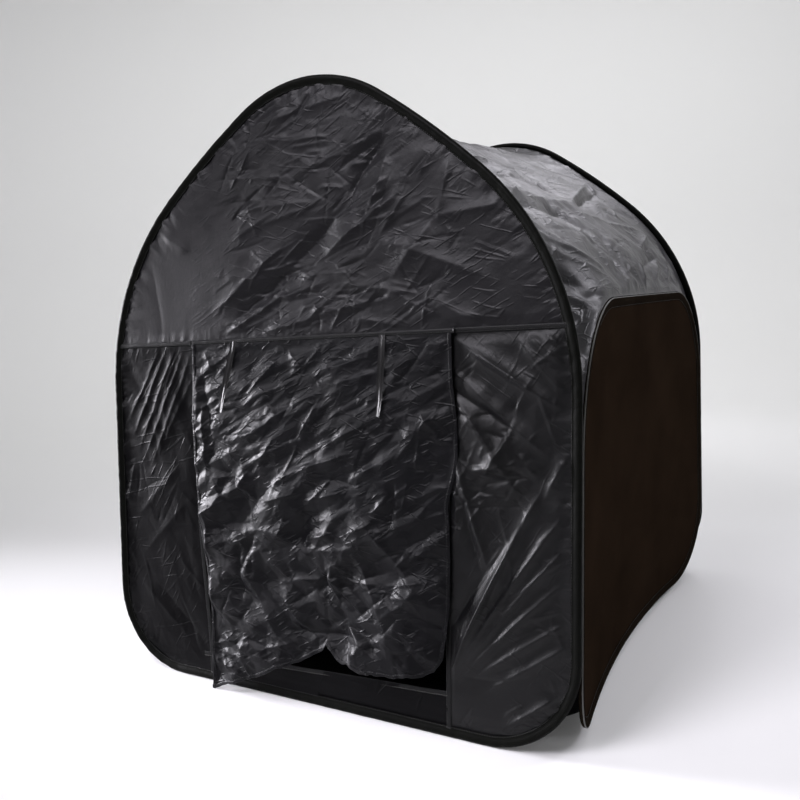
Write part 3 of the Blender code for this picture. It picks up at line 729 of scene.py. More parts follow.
def back_cloth(name, node, low, high):
    t = np.linspace(0, 1, steps_for(float(high - low), PLAIN_STEP) + 1)[:, None]
    s = np.linspace(-1, 1, steps_for(1.05, PLAIN_STEP) + 1)[None, :]
    up = low + (high - low) * t + 0 * s
    x = arch_right(up) * s
    inside, run = edge_place(x, up)
    relief = 0.0040 * soft_noise(x, up, 0.15, 61) + 0.0018 * facets(x, up, 0.07, 62, 0.3)
    relief += creases(x, up, 63, 70, (-0.5, low), (0.5, high), 0.22, 0.010, 0.25, 0.8, 0.8)
    edge = np.minimum(inside - 0.014, np.minimum(up - low, high - up))
    relief = relief * smooth(edge / 0.03) - 0.010 * smooth(inside / 0.3)
    relief += puckers(run, inside - 0.018, 0.016, 0.0016, 0.020, 65) * smooth((inside - 0.012) / 0.008)
    relief = relief * smooth(np.minimum(up - low, high - up) / 0.01)
    made = grid_piece(name, wall_point(x, up, relief, back=True), BACK, "back_cloth")
    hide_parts(node)
    return made


back_upper = back_cloth("back_upper", "back_upper_panel", SEAM_HEIGHT, HOOP_HEIGHT - CLOTH_INSET - 0.0006)
back_lower = back_cloth("back_lower", "back_lower_panel", CLOTH_INSET + 0.0006, SEAM_HEIGHT)
wall_strip("back_seam", "back_seam_tape", seam_x, SEAM_HEIGHT + 0 * seam_x, 0.0010 + 0 * seam_x, 0.0048, back=True,
           rows=(0.62, -0.62))


# Side walls

def side_half(up_share, inset):
    """Front and back ends of the side hoop's inside at each height."""
    up = SIDE_BOTTOM + (SIDE_TOP - SIDE_BOTTOM) * up_share

    def reach(top_radius, foot_radius):
        cut_top = np.maximum(up - (SIDE_TOP - top_radius), 0)
        cut_foot = np.maximum(SIDE_BOTTOM + foot_radius - up, 0)
        top = top_radius - np.sqrt(np.maximum((top_radius - inset) ** 2 - cut_top ** 2, 0))
        foot = foot_radius - np.sqrt(np.maximum((foot_radius - inset) ** 2 - cut_foot ** 2, 0))
        return SIDE_REACH - np.maximum(top, foot)

    return -reach(SIDE_FRONT_TOP_RADIUS, SIDE_FRONT_FOOT_RADIUS), reach(SIDE_BACK_TOP_RADIUS, SIDE_BACK_FOOT_RADIUS)


def side_cloth(side, hand, seed):
    low = (CLOTH_INSET + 0.0006) / (SIDE_TOP - SIDE_BOTTOM)
    t = np.linspace(low, 1 - low, steps_for(SIDE_TOP - SIDE_BOTTOM, PLAIN_STEP) + 1)[:, None]
    s = np.linspace(0, 1, steps_for(1.10, PLAIN_STEP) + 1)[None, :]
    front_end, back_end = side_half(t, CLOTH_INSET)
    along = front_end + (back_end - front_end) * s
    up = SIDE_BOTTOM + (SIDE_TOP - SIDE_BOTTOM) * t + 0 * s
    relief = 0.0030 * soft_noise(along, up, 0.22, seed) + 0.0005 * facets(along, up, 0.09, seed + 1, 0.5)
    relief += creases(along, up, seed + 2, 14, (-0.45, 0.1), (0.45, 0.7), 0.20, 0.010, 0.10, 0.6, 0.7)
    relief += fold(along, up, (-0.30, 0.700), (-0.265, 0.745), 0.006, 0.0030)
    relief += fold(along, up, (-0.285, 0.715), (-0.235, 0.735), 0.005, -0.0020)
    edge = np.minimum(np.minimum(along - front_end, back_end - along), np.minimum(t - low, 1 - low - t) * 0.77)
    relief = relief * smooth(edge / 0.05)
    relief += puckers(along + up, edge - 0.004, 0.015, 0.0010, 0.014, seed + 5) * smooth(edge / 0.006)
    made = grid_piece(side + "_side", side_point(hand, along, up, relief), SIDE, "side_cloth")
    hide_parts(side + "_side_panel")
    return made


left_side = side_cloth("left", -1, 71)
right_side = side_cloth("right", 1, 77)


# Roof: one cloth over the crown, slopes and eaves and down to the side hoops' corners

ROOF_EDGE = SIDE_REACH - 0.00015
CROWN_RUN = CROWN_RADIUS * CROWN_TURN
FLANK_RUN = CROWN_RUN + FLANK_RADIUS * (FLANK_TURN - CROWN_TURN)


def turn_at_height(height):
    """How far the shoulder of the arch has turned at a height below the slope."""
    reach = SHOULDER_RADIUS - ROOF_INSET
    return np.arccos(np.clip((height - SHOULDER_CENTRE[1]) / reach, -1, 1))


def side_hoop_height(along):
    """Height of the top of the side hoop at each place along it."""
    front_in = np.clip(-along - (SIDE_REACH - SIDE_FRONT_TOP_RADIUS), 0, SIDE_FRONT_TOP_RADIUS)
    back_in = np.clip(along - (SIDE_REACH - SIDE_BACK_TOP_RADIUS), 0, SIDE_BACK_TOP_RADIUS)
    front_drop = SIDE_FRONT_TOP_RADIUS - np.sqrt(SIDE_FRONT_TOP_RADIUS ** 2 - front_in ** 2)
    back_drop = SIDE_BACK_TOP_RADIUS - np.sqrt(SIDE_BACK_TOP_RADIUS ** 2 - back_in ** 2)
    return SIDE_TOP - front_drop - back_drop


# Creases of the roof's right side: start and end as (round from the apex, along), then as on the front
ROOF_FOLDS = [
    ((0.463, -0.560), (0.457, 0.010), 0.020, 0.0120, 0.004, 0.45),
    ((0.505, -0.560), (0.500, -0.060), 0.020, -0.0090, 0.0, -0.3),
    ((0.470, -0.090), (0.310, 0.440), 0.014, 0.0110, 0.0, -0.5),
    ((0.475, -0.060), (0.345, 0.460), 0.012, -0.0100, 0.0, 0.4),
    ((0.490, -0.120), (0.536, 0.450), 0.0050, 0.0034, 0.0, 0.3),
    ((0.525, 0.430), (0.615, 0.130), 0.010, 0.0070, 0.0, 0.3),
    ((0.545, -0.530), (0.665, -0.215), 0.009, 0.0065, 0.0, 0.0),
    ((0.575, -0.520), (0.680, -0.240), 0.007, 0.0050, 0.0, 0.0),
    ((0.605, -0.540), (0.695, -0.370), 0.013, -0.0170, 0.006, 0.5),
    ((0.640, -0.530), (0.745, -0.350), 0.008, 0.0120, 0.0, 0.2),
    ((0.672, -0.525), (0.755, -0.395), 0.007, 0.0110, 0.0, 0.2),
    ((0.705, -0.525), (0.765, -0.425), 0.008, 0.0110, 0.0, 0.0),
    ((0.610, 0.330), (0.692, 0.130), 0.008, 0.0070, 0.0, 0.3),
    ((0.655, 0.050), (0.612, 0.340), 0.010, -0.0080, 0.0, 0.0),
    ((0.615, 0.055), (0.722, 0.030), 0.007, 0.0060, 0.0, 0.0),
    ((0.540, 0.500), (0.722, 0.225), 0.010, 0.0065, 0.0, 0.0),
    ((0.590, 0.480), (0.722, 0.330), 0.008, 0.0055, 0.0, 0.0),
    ((0.390, -0.300), (0.250, 0.100), 0.016, 0.0050, 0.0, 0.0),
    ((0.300, -0.400), (0.420, 0.150), 0.012, -0.0040, 0.0, 0.0),
]


def roof_relief(run, along, inside):
    relief = 0.0045 * soft_noise(run, along, 0.16, 81) + 0.0060 * facets(run, along, 0.085, 82, 1.2, 2.0)
    relief += 0.0036 * facets(run, along, 0.040, 83, 0.9, 2.0) + 0.0007 * facets(run, along, 0.018, 85, 0.4, 2.0)
    relief += folds_of(ROOF_FOLDS, run, along)
    crushed = round_patch(run, along, (0.515, -0.190), 0.11) + round_patch(run, along, (0.660, -0.100), 0.16)
    crushed = crushed + round_patch(run, along, (-0.560, 0.120), 0.20) + round_patch(run, along, (-0.300, -0.250), 0.16)
    relief += crushed * (0.0062 * facets(run, along, 0.022, 87, 0.8, 1.8) + 0.0018 * facets(run, along, 0.010, 88, 0.3))
    relief += creases(run, along, 84, 70, (-0.75, -0.5), (0.75, 0.5), 0.22, 0.0060, 0.45, 1.2, 0.8)
    relief += creases(run, along, 89, 90, (-0.75, -0.5), (0.75, 0.5), 0.12, 0.0040, 0.45, 1.2, 0.9)
    relief -= 0.026 * round_patch(run, along, (0.710, -0.465), 0.15)
    relief = relief * smooth(inside / 0.035)
    return relief + puckers(run, inside, 0.018, 0.0022, 0.030, 86) * smooth(inside / 0.006)


def roof_cloth():
    half = steps_for(1.0, ROOF_STEP)
    t = np.linspace(-1, 1, 2 * half + 1)[:, None]
    s = np.linspace(-1, 1, steps_for(1.08, ROOF_STEP) + 1)[None, :]
    v = np.sin(s * pi / 2) * 0.35 + s * 0.65
    v = v / np.abs(v).max()
    along = v * SIDE_REACH
    bottom = side_hoop_height(along)
    last = turn_at_height(np.minimum(bottom, EAVE_FOOT))
    below = np.maximum(SHOULDER_CENTRE[1] - bottom, 0)
    run_end = FLANK_RUN + SHOULDER_RADIUS * (last - FLANK_TURN) + below
    run = np.abs(t) * run_end
    turn = np.where(run < CROWN_RUN, run / CROWN_RADIUS,
                    np.where(run < FLANK_RUN, CROWN_TURN + (run - CROWN_RUN) / FLANK_RADIUS,
                             FLANK_TURN + (run - FLANK_RUN) / SHOULDER_RADIUS))
    over = np.maximum(turn - pi / 2, 0) * SHOULDER_RADIUS
    turn = np.minimum(turn, pi / 2)
    hem = ROOF_HEM * smooth((run_end - run) / 0.10)
    point, normal = arch_at_turn(turn, ROOF_INSET)
    point = point - normal * hem[..., None]
    height = point[..., 1] - over
    share = np.clip((HOOP_HEIGHT - height) / (HOOP_HEIGHT - EAVE_FOOT), 0, 1)
    sag = ROOF_SAG * (1 - share) - EAVE_BULGE * share * smooth((height - bottom) / 0.10)
    reach = ROOF_EDGE - LEAN * height
    inside = np.minimum((1 - np.abs(v)) * reach, run_end - run)
    hand = np.sign(t)
    hand[half] = 1
    pull = sag * (1 - v * v) - roof_relief(run * hand, v * reach, inside)
    x = hand * (point[..., 0] - normal[..., 0] * pull)
    z = height - normal[..., 1] * pull
    made = np.stack([x, v * reach + 0 * t, z], -1)
    hoop = side_point(1, along, bottom + 0.0012, 0.0)
    gap = hoop[..., 0] - np.abs(x[-1:])
    drop = hoop[..., 2] - z[-1:]
    weight = smooth(1 - (run_end - run) / (0.30 * smooth((1 - np.abs(v)) / 0.05) + 0.05))
    edge = smooth((1 - np.abs(v)) / 0.012)
    made[..., 0] += hand * gap * weight * edge
    made[..., 2] += drop * weight
    piece = grid_piece("roof", made, ROOF, "roof_cloth", flip=False)
    gussets = [f"gusset_{end}_{side}" for end in ("front", "back") for side in ("left", "right")]
    sides = [f"roof_{part}_{side}" for part in ("slope", "eave") for side in ("left", "right")]
    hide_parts("roof_crown_panel", *sides, *gussets)
    return piece


roof = roof_cloth()


# Floor

def floor_cloth():
    deep = DEPTH / 2 - 0.0052
    straight = deep - 0.150
    s = np.linspace(-1, 1, steps_for(2 * deep, PLAIN_STEP) + 1)[:, None]
    along = s * deep
    edge = SIDE_PLANE - 0.0074 - (SIDE_BOW_BOTTOM - 0.0005) * (1 - (np.clip(along, -straight, straight) / SIDE_REACH) ** 2)
    corner = smooth((np.abs(along) - straight) / (deep - straight))
    edge = edge + (0.350 - 0.06 - edge + 0.06) * corner
    t = np.linspace(-1, 1, steps_for(1.0, PLAIN_STEP) + 1)[None, :]
    x = t * edge
    near = np.clip((np.abs(x) - (edge - 0.06)) / 0.06, 0, 1)
    rise = 0.030 * near ** 1.3 * (1 - corner)
    wave = 0.0018 * (soft_noise(x, along, 0.09, 91) + 1) + 0.0012 * (facets(x, along, 0.05, 92) + 1)
    wave = wave * smooth((edge - np.abs(x)) / 0.05) * smooth((deep - np.abs(along)) / 0.05)
    points = np.stack([x, along + 0 * t, 0.0009 + rise + wave], -1)
    made = grid_piece("floor", points, FLOOR, "floor_cloth")
    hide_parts("floor_sheet", "floor_edge_left", "floor_edge_right")
    return made


floor = floor_cloth()


# Sleeves over the spring hoops

def section(share):
    """Half thickness of a sleeve from its sewn inner edge, 0, to its rounded outside, 1."""
    across = share * 2 * SLEEVE_HALF_WIDTH
    sewn = 0.0009 + (SLEEVE_HALF_THICK - 0.0013) * smooth((across - 0.0035) / 0.0090)
    round_start = 0.0135
    radius = 2 * SLEEVE_HALF_WIDTH - round_start
    beyond = np.clip((across - round_start) / radius, 0, 1)
    return sewn * np.sqrt(np.maximum(1 - beyond ** 2, 0))


def sleeve_piece(name, node, line, seed, look=SLEEVE, faces=(1,)):
    """A sleeve swept round a closed line, given as a function of arc share and (across, out)."""
    sides = SLEEVE_SIDES
    turn = np.linspace(0, 2 * pi, sides, endpoint=False) + pi / sides
    share = (1 - np.cos(turn)) / 2
    thick = section(share) * np.sign(np.sin(turn))
    across = share * 2 * SLEEVE_HALF_WIDTH - SLEEVE_HALF_WIDTH
    arcs, place = line
    run = arcs[:, None]
    a = across[None, :] + 0 * run
    w = thick[None, :] + 0 * run
    slide = run + 0.7 * a * np.sign(w)
    ripple = facets(slide, 0.35 * w + 0.25 * a, 0.0135, seed, 0.2) + 0.6 * facets(slide, 0.6 * w, 0.006, seed + 1)
    swell = 0.00062 * ripple * smooth(share / 0.3)[None, :]
    w = w + np.sign(w) * swell
    w = np.clip(w, -0.0063, 0.0063)
    made = grid_piece(name, place(a, w), look, "sleeve_cloth", wrap_rows=True, wrap_columns=True)
    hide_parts(node)
    stitch = -SLEEVE_HALF_WIDTH + 0.0016 + 0 * run
    height = 0.0012
    for hand in faces:
        along = place(stitch, hand * height + 0 * run)[:, 0]
        beside = place(stitch + 0.001, hand * height + 0 * run)[:, 0] - along
        beyond = place(stitch, hand * (height + 0.001) + 0 * run)[:, 0] - along
        scale = 1000.0
        face = "out" if hand > 0 else "in"
        stitches(f"{name}_thread_{face}", along, beside * scale, beyond * scale, THREAD)
    return made


def arch_loop():
    """Evenly spaced places round the whole arch: centre line direction and run."""
    quarter = pi / 2
    pieces = [
        (CROWN_CENTRE, CROWN_RADIUS, 0, CROWN_TURN),
        (FLANK_CENTRE, FLANK_RADIUS, CROWN_TURN, FLANK_TURN),
        (SHOULDER_CENTRE, SHOULDER_RADIUS, FLANK_TURN, quarter),
    ]
    points, normals = [], []
    for centre, radius, start, end in pieces:
        angle = np.linspace(start, end, steps_for(radius * (end - start), SLEEVE_STEP) + 1)[:-1]
        normal = np.stack([np.sin(angle), np.cos(angle)], -1)
        points.append(centre + radius * normal)
        normals.append(normal)
    high, low = SHOULDER_CENTRE[1], FOOT_CENTRE[1]
    z = np.linspace(high, low, steps_for(high - low, SLEEVE_STEP) + 1)[:-1]
    points.append(np.stack([HALF_SPAN + 0 * z, z], -1))
    normals.append(np.stack([1 + 0 * z, 0 * z], -1))
    angle = np.linspace(quarter, pi, steps_for(FOOT_RADIUS * quarter, SLEEVE_STEP) + 1)[:-1]
    normal = np.stack([np.sin(angle), np.cos(angle)], -1)
    points.append(FOOT_CENTRE + FOOT_RADIUS * normal)
    normals.append(normal)
    x = np.linspace(FOOT_CENTRE[0], 0, steps_for(FOOT_CENTRE[0], SLEEVE_STEP) + 1)
    points.append(np.stack([x, 0 * x], -1))
    normals.append(np.stack([0 * x, -1 + 0 * x], -1))
    points, normals = np.concatenate(points), np.concatenate(normals)
    flip = np.array((-1, 1))
    points = np.concatenate([points, (points * flip)[-2:0:-1]])
    normals = np.concatenate([normals, (normals * flip)[-2:0:-1]])
    return points, normals


def runs_along(points):
    return np.concatenate([[0], np.cumsum(np.linalg.norm(np.diff(points, axis=0), axis=1))])


def arch_sleeve(name, node, back, seed, faces=(1,)):
    points, normals = arch_loop()

    def place(across, out):
        inset = (SLEEVE_HALF_WIDTH - across)[..., None]
        here = points[:, None, :] - normals[:, None, :] * inset
        return wall_point(here[..., 0], here[..., 1], out, back)

    return sleeve_piece(name, node, (runs_along(points), place), seed, faces=faces)


def side_loop():
    corners = (
        (SIDE_REACH, SIDE_BOTTOM, SIDE_BACK_FOOT_RADIUS, 1, -1),
        (SIDE_REACH, SIDE_TOP, SIDE_BACK_TOP_RADIUS, 1, 1),
        (-SIDE_REACH, SIDE_TOP, SIDE_FRONT_TOP_RADIUS, -1, 1),
        (-SIDE_REACH, SIDE_BOTTOM, SIDE_FRONT_FOOT_RADIUS, -1, -1),
    )
    points, normals = [], []
    for k, (x, z, radius, right_way, up_way) in enumerate(corners):
        centre = np.array((x - right_way * radius, z - up_way * radius))
        start = (k - 1) * pi / 2
        angle = np.linspace(start, start + pi / 2, steps_for(radius * pi / 2, SLEEVE_STEP) + 1)
        normal = np.stack([np.cos(angle), np.sin(angle)], -1)
        arc = centre + radius * normal
        x2, z2, radius2, right2, up2 = corners[(k + 1) % 4]
        centre2 = np.array((x2 - right2 * radius2, z2 - up2 * radius2))
        target = centre2 + radius2 * normal[-1]
        count = steps_for(np.linalg.norm(target - arc[-1]), SLEEVE_STEP)
        t = np.linspace(0, 1, count + 1)[1:-1, None]
        points += [arc, arc[-1] + (target - arc[-1]) * t]
        normals += [normal, np.tile(normal[-1], (len(t), 1))]
    return np.concatenate(points), np.concatenate(normals)


def side_sleeve(name, node, hand, seed):
    points, normals = side_loop()

    def place(across, out):
        inset = (SLEEVE_HALF_WIDTH - across)[..., None]
        here = points[:, None, :] - normals[:, None, :] * inset
        return side_point(hand, here[..., 0], here[..., 1], out)

    turn = np.linspace(0, 2 * pi, 6, endpoint=False)
    # A thin pale tube along the outer rim of the side sleeve, standing in for the rim of light there: a painted rim
    # highlight.
    rim = SLEEVE_HALF_WIDTH + RIM_HIGHLIGHT_RADIUS * np.cos(turn)[None, :] - RIM_HIGHLIGHT_RADIUS
    wide = 0.0030 + 1.6 * RIM_HIGHLIGHT_RADIUS * np.sin(turn)[None, :]
    flat = 0 * runs_along(points)[:, None]
    grid_piece(name + "_piping", place(rim + flat, wide + flat), PAINTED_RIM_HIGHLIGHT, "sleeve_cloth", wrap_rows=True,
               wrap_columns=True)
    return sleeve_piece(name, node, (runs_along(points), place), seed, SIDE_SLEEVE)


arch_sleeve("front_sleeve", "front_hoop_sleeve", False, 101, (1, -1))
arch_sleeve("back_sleeve", "back_hoop_sleeve", True, 105)
side_sleeve("left_sleeve", "left_hoop_sleeve", -1, 109)
side_sleeve("right_sleeve", "right_hoop_sleeve", 1, 113)


# Door flap, hanging from its hem in front of the doorway

FLAP_LEFT_EDGE = [  # across, up, out
    (-0.303, 0.730, 0.0075), (-0.302, 0.649, 0.0080), (-0.306, 0.564, 0.0085), (-0.3045, 0.485, 0.0085),
    (-0.298, 0.413, 0.0090), (-0.290, 0.334, 0.0100), (-0.272, 0.256, 0.0140), (-0.259, 0.179, 0.0180),
    (-0.252, 0.098, 0.0270), (-0.251, -0.002, 0.0300),
]
FLAP_RIGHT_EDGE = [
    (0.3065, 0.745, 0.0070), (0.3080, 0.657, 0.0060), (0.3165, 0.586, 0.0055), (0.3175, 0.521, 0.0055),
    (0.3110, 0.482, 0.0065), (0.2980, 0.437, 0.0085), (0.3000, 0.392, 0.0070), (0.3010, 0.325, 0.0060),
    (0.2990, 0.235, 0.0080), (0.2900, 0.150, 0.0180),
]
FLAP_BOTTOM = [  # share of the width, across, up, out
    (0.00, -0.251, -0.002, 0.0300), (0.10, -0.195, 0.0206, 0.0300), (0.21, -0.132, 0.046, 0.028),
    (0.31, -0.070, 0.074, 0.028), (0.40, -0.021, 0.0966, 0.022), (0.49, 0.030, 0.1234, 0.020),
    (0.51, 0.038, 0.136, 0.018), (0.57, 0.068, 0.1131, 0.024), (0.67, 0.129, 0.1020, 0.032),
    (0.79, 0.197, 0.1062, 0.034), (0.90, 0.256, 0.115, 0.032), (0.95, 0.275, 0.126, 0.026),
    (1.00, 0.290, 0.150, 0.018),
]
# Creases of the flap, read from the photograph like the wall's
FLAP_FOLDS = [
    ((-0.190, 0.588), (0.008, 0.671), 0.013, 0.0065, 0.004, 0.3),
    ((0.008, 0.671), (0.166, 0.706), 0.009, 0.0042, 0.0, 0.3),
    ((-0.135, 0.549), (0.050, 0.645), 0.012, 0.0065, 0.003, 0.3),
    ((0.050, 0.645), (0.159, 0.675), 0.010, 0.0050, 0.0, 0.3),
    ((-0.166, 0.476), (-0.040, 0.532), 0.010, 0.0065, 0.0, 0.3),
    ((-0.056, 0.482), (0.158, 0.582), 0.010, 0.0060, 0.004, 0.3),
    ((-0.111, 0.438), (0.130, 0.526), 0.012, 0.0080, 0.006, 0.3),
    ((-0.246, 0.528), (-0.085, 0.554), 0.008, 0.0045, 0.0, 0.2),
    ((-0.205, 0.521), (-0.077, 0.573), 0.009, 0.0055, 0.0, 0.2),
    ((0.088, 0.462), (0.156, 0.501), 0.009, 0.0055, 0.0, 0.2),
    ((0.195, 0.476), (0.181, 0.366), 0.009, -0.0075, 0.0, 0.3),
    ((0.297, 0.630), (0.189, 0.498), 0.013, 0.0065, 0.0, 0.0),
    ((0.242, 0.607), (0.290, 0.548), 0.008, 0.0045, 0.0, 0.0),
    ((0.128, 0.395), (0.244, 0.267), 0.014, 0.0085, 0.0, 0.3),
    ((0.028, 0.319), (0.152, 0.251), 0.010, 0.0065, 0.0, 0.0),
    ((-0.098, 0.355), (0.006, 0.305), 0.010, 0.0070, 0.0, 0.0),
    ((0.006, 0.305), (0.138, 0.199), 0.012, 0.0085, 0.0, 0.3),
    ((-0.055, 0.254), (0.042, 0.266), 0.009, 0.0055, 0.0, 0.0),
    ((0.041, 0.260), (0.138, 0.196), 0.008, -0.0060, 0.0, 0.0),
    ((0.152, 0.198), (0.238, 0.263), 0.010, 0.0065, 0.0, 0.0),
    ((0.019, 0.233), (0.049, 0.292), 0.007, -0.0065, 0.0, 0.0),
    ((-0.073, 0.151), (0.124, 0.164), 0.012, -0.0085, 0.0, 0.0),
    ((-0.154, 0.093), (-0.028, 0.133), 0.010, 0.0075, 0.0, 0.0),
    ((-0.246, 0.063), (-0.147, 0.048), 0.009, 0.0065, 0.0, 0.0),
    ((-0.227, 0.120), (-0.138, 0.089), 0.009, 0.0065, 0.0, 0.0),
    ((-0.282, 0.682), (-0.246, 0.522), 0.010, -0.0065, 0.0, 0.4),
    ((-0.246, 0.522), (-0.138, 0.345), 0.010, -0.0100, 0.008, 0.5),
    ((-0.138, 0.345), (-0.181, 0.244), 0.009, -0.0085, 0.0, 0.4),
    ((-0.182, 0.334), (-0.175, 0.174), 0.010, -0.0075, 0.0, 0.4),
    ((-0.276, 0.618), (-0.270, 0.443), 0.009, 0.0065, 0.0, 0.0),
    ((-0.272, 0.390), (-0.260, 0.260), 0.009, 0.0065, 0.0, 0.0),
    ((0.158, 0.158), (0.268, 0.165), 0.010, 0.0080, 0.0, 0.0),
    ((0.081, 0.133), (0.190, 0.122), 0.010, 0.0080, 0.0, 0.0),
    ((0.191, 0.164), (0.230, 0.124), 0.008, -0.0065, 0.0, 0.0),
    ((-0.273, 0.714), (-0.241, 0.669), 0.007, 0.0040, 0.0, 0.0),
    ((-0.241, 0.657), (-0.174, 0.707), 0.008, 0.0045, 0.0, 0.0),
    ((-0.161, 0.614), (-0.058, 0.713), 0.009, 0.0050, 0.0, 0.0),
    ((-0.058, 0.716), (-0.007, 0.677), 0.008, 0.0045, 0.0, 0.0),
    ((-0.191, 0.448), (-0.128, 0.403), 0.009, 0.0060, 0.0, 0.0),
    ((-0.230, 0.497), (-0.183, 0.449), 0.009, 0.0060, 0.0, 0.0),
    ((-0.136, 0.402), (0.002, 0.438), 0.009, 0.0060, 0.0, 0.0),
    ((-0.028, 0.411), (0.101, 0.446), 0.009, 0.0060, 0.0, 0.0),
    ((-0.067, 0.352), (-0.006, 0.407), 0.009, 0.0060, 0.0, 0.0),
    ((-0.008, 0.340), (0.072, 0.366), 0.009, 0.0060, 0.0, 0.0),
    ((0.093, 0.362), (0.155, 0.392), 0.009, 0.0060, 0.0, 0.0),
    ((0.194, 0.350), (0.288, 0.326), 0.010, 0.0065, 0.0, 0.0),
    ((0.155, 0.415), (0.188, 0.452), 0.008, 0.0050, 0.0, 0.0),
    ((0.260, 0.558), (0.315, 0.544), 0.008, 0.0040, 0.0, 0.0),
]


def edge_curve(points, share):
    """A smooth line through a few places, by share of its length."""
    table = np.array(points)
    run = runs_along(table)
    run = run / run[-1]
    fine = np.linspace(0, 1, 200)
    out = np.stack([np.interp(fine, run, table[:, k]) for k in range(table.shape[1])], -1)
    kernel = np.hanning(13)
    kernel /= kernel.sum()
    padded = np.concatenate([2 * out[0] - out[6:0:-1], out, 2 * out[-1] - out[-2:-8:-1]])
    out = np.stack([np.convolve(padded[:, k], kernel, "valid") for k in range(out.shape[1])], -1)
    return np.stack([np.interp(share, fine, out[:, k]) for k in range(out.shape[1])], -1)


def flap_relief(x, up):
    relief = folds_of(FLAP_FOLDS, x, up)
    low = smooth((0.52 - up - 0.45 * x) / 0.20)
    high = 1 - low
    turned = smooth((0.36 - up) / 0.10)
    medium = (1 - turned) * facets(x, up, 0.030, 202, 0.50, 2.4) + turned * facets(x, up, 0.032, 210, -0.65, 2.0)
    small = (1 - turned) * facets(x, up, 0.013, 203, 0.45, 2.6) + turned * facets(x, up, 0.014, 211, -0.50, 2.2)
    relief += (0.20 + 0.80 * low) * 0.0110 * facets(x, up, 0.066, 201, 0.45, 1.6)
    relief += (0.15 + 0.85 * low) * (0.0115 * medium + 0.0026 * small)
    bunched = round_patch(x, up, (0.190, 0.150), 0.14) + round_patch(x, up, (-0.200, 0.070), 0.15)
    relief += 0.0070 * bunched * facets(x, up, 0.034, 209, 0.5, 1.3)
    relief += high * 0.0044 * facets(x, up, 0.024, 205, 0.42, 4.0)
    relief += high * 0.0024 * facets(x, up, 0.012, 206, 0.50, 3.0)
    return relief + creases(x, up, 204, 90, (-0.30, 0.05), (0.30, 0.70), 0.10, 0.0036, 0.70, 0.5, 0.5)


def flap_cloth():
    rows = steps_for(0.74, FLAP_STEP)
    columns = steps_for(0.62, FLAP_STEP)
    v = np.linspace(0, 1, rows + 1)[:, None]
    u = np.linspace(0, 1, columns + 1)[None, :]
    left_edge = edge_curve(FLAP_LEFT_EDGE, v[:, 0])[:, None, :]
    right_edge = edge_curve(FLAP_RIGHT_EDGE, v[:, 0])[:, None, :]
    bottom = np.array(FLAP_BOTTOM)
    foot = np.stack([np.interp(u[0], bottom[:, 0], bottom[:, k]) for k in (1, 2, 3)], -1)[None]
    top_x = -0.303 + 0.612 * u
    top = np.stack([top_x, seam_at(top_x) - 0.004, 0.0075 + 0 * u], -1)
    ends = (1 - u[..., None]) * left_edge + u[..., None] * right_edge
    spans = (1 - v[..., None]) * top + v[..., None] * foot
    corners = ((1 - u) * (1 - v))[..., None] * top[:, :1] + (u * (1 - v))[..., None] * top[:, -1:]
    corners = corners + ((1 - u) * v)[..., None] * foot[:, :1] + (u * v)[..., None] * foot[:, -1:]
    base = ends + spans - corners
    x, up, out = base[..., 0], base[..., 1], base[..., 2]
    ragged = 0.0030 * soft_noise(u, 0 * u, 0.045, 207) + 0.0018 * soft_noise(u, 0 * u, 0.017, 208)
    up = up + ragged * smooth((v - 0.85) / 0.15)
    lift = 0.020 * np.sin(pi * u ** 0.85) * smooth(v / 0.30) * (1 - 0.5 * v)
    side_edge = smooth(np.minimum(u * 0.6 + 0.007, (1 - u) * 0.6) / 0.022)
    foot_edge = smooth((1 - v) * 0.72 / 0.02)
    relief = flap_relief(x, up) * smooth(v * 0.72 / 0.025) * side_edge * (0.50 + 0.50 * foot_edge)
    out = out + lift + relief
    low, high = 0.0045, 0.0425
    out = low + np.logaddexp(0, (out - low) / 0.002) * 0.002
    out = high - np.logaddexp(0, (high - out) / 0.002) * 0.002
    return x, up, out


flap_x, flap_up, flap_out = flap_cloth()
flap = grid_piece("flap", wall_point(flap_x, flap_up, flap_out), FLAP, "flap_cloth", "door_flap", flip=True)
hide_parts("door_flap")


def flap_hem(name, along, inward, outward, look=FLAP):
    """A narrow turned hem on the flap's edge with a row of stitches."""
    strip(name, along + inward * 0.0034 + outward * 0.0002, inward, outward, 0.0038, 0.0007, look, "flap_cloth",
          "door_flap", 0.0004)
    stitches(name + "_thread", along + inward * 0.0052 + outward * 0.0010, inward, outward, THREAD,
             "door_flap")


def edge_frames(points, inner):
    along = points
    turned = np.gradient(along, axis=0)
    turned /= np.linalg.norm(turned, axis=1)[:, None]
    inward = inner - along
    inward -= turned * (inward * turned).sum(1)[:, None]
    inward /= np.linalg.norm(inward, axis=1)[:, None]
    outward = np.cross(inward, turned)
    outward *= np.sign(outward[:, 1] * -1)[:, None]
    return along, inward, outward


flap_points = wall_point(flap_x, flap_up, flap_out)
flap_hem("flap_hem_left", *edge_frames(flap_points[:, 0], flap_points[:, 4]))
flap_hem("flap_hem_right", *edge_frames(flap_points[:, -1], flap_points[:, -5]))
flap_hem("flap_hem_bottom", *edge_frames(flap_points[-1], flap_points[-5]))

hem_x = np.linspace(-0.306, 0.312, steps_for(0.618, 0.004))
hem_line, hem_across, hem_out = on_wall(hem_x, seam_at(hem_x), FLAP_STAND_OFF + 0 * hem_x)
hem = strip("flap_top_hem", hem_line, hem_across, hem_out, 0.0045, 0.0019, TAPE, "seam_tape", "door_flap", 0.0004)
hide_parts("door_flap_top_hem")
stitches("flap_top_hem_thread", hem_line + hem_out * 0.0022 - hem_across * 0.002, hem_across, hem_out, THREAD,
         "door_flap")


# Ties: ribbons that hang from the hem

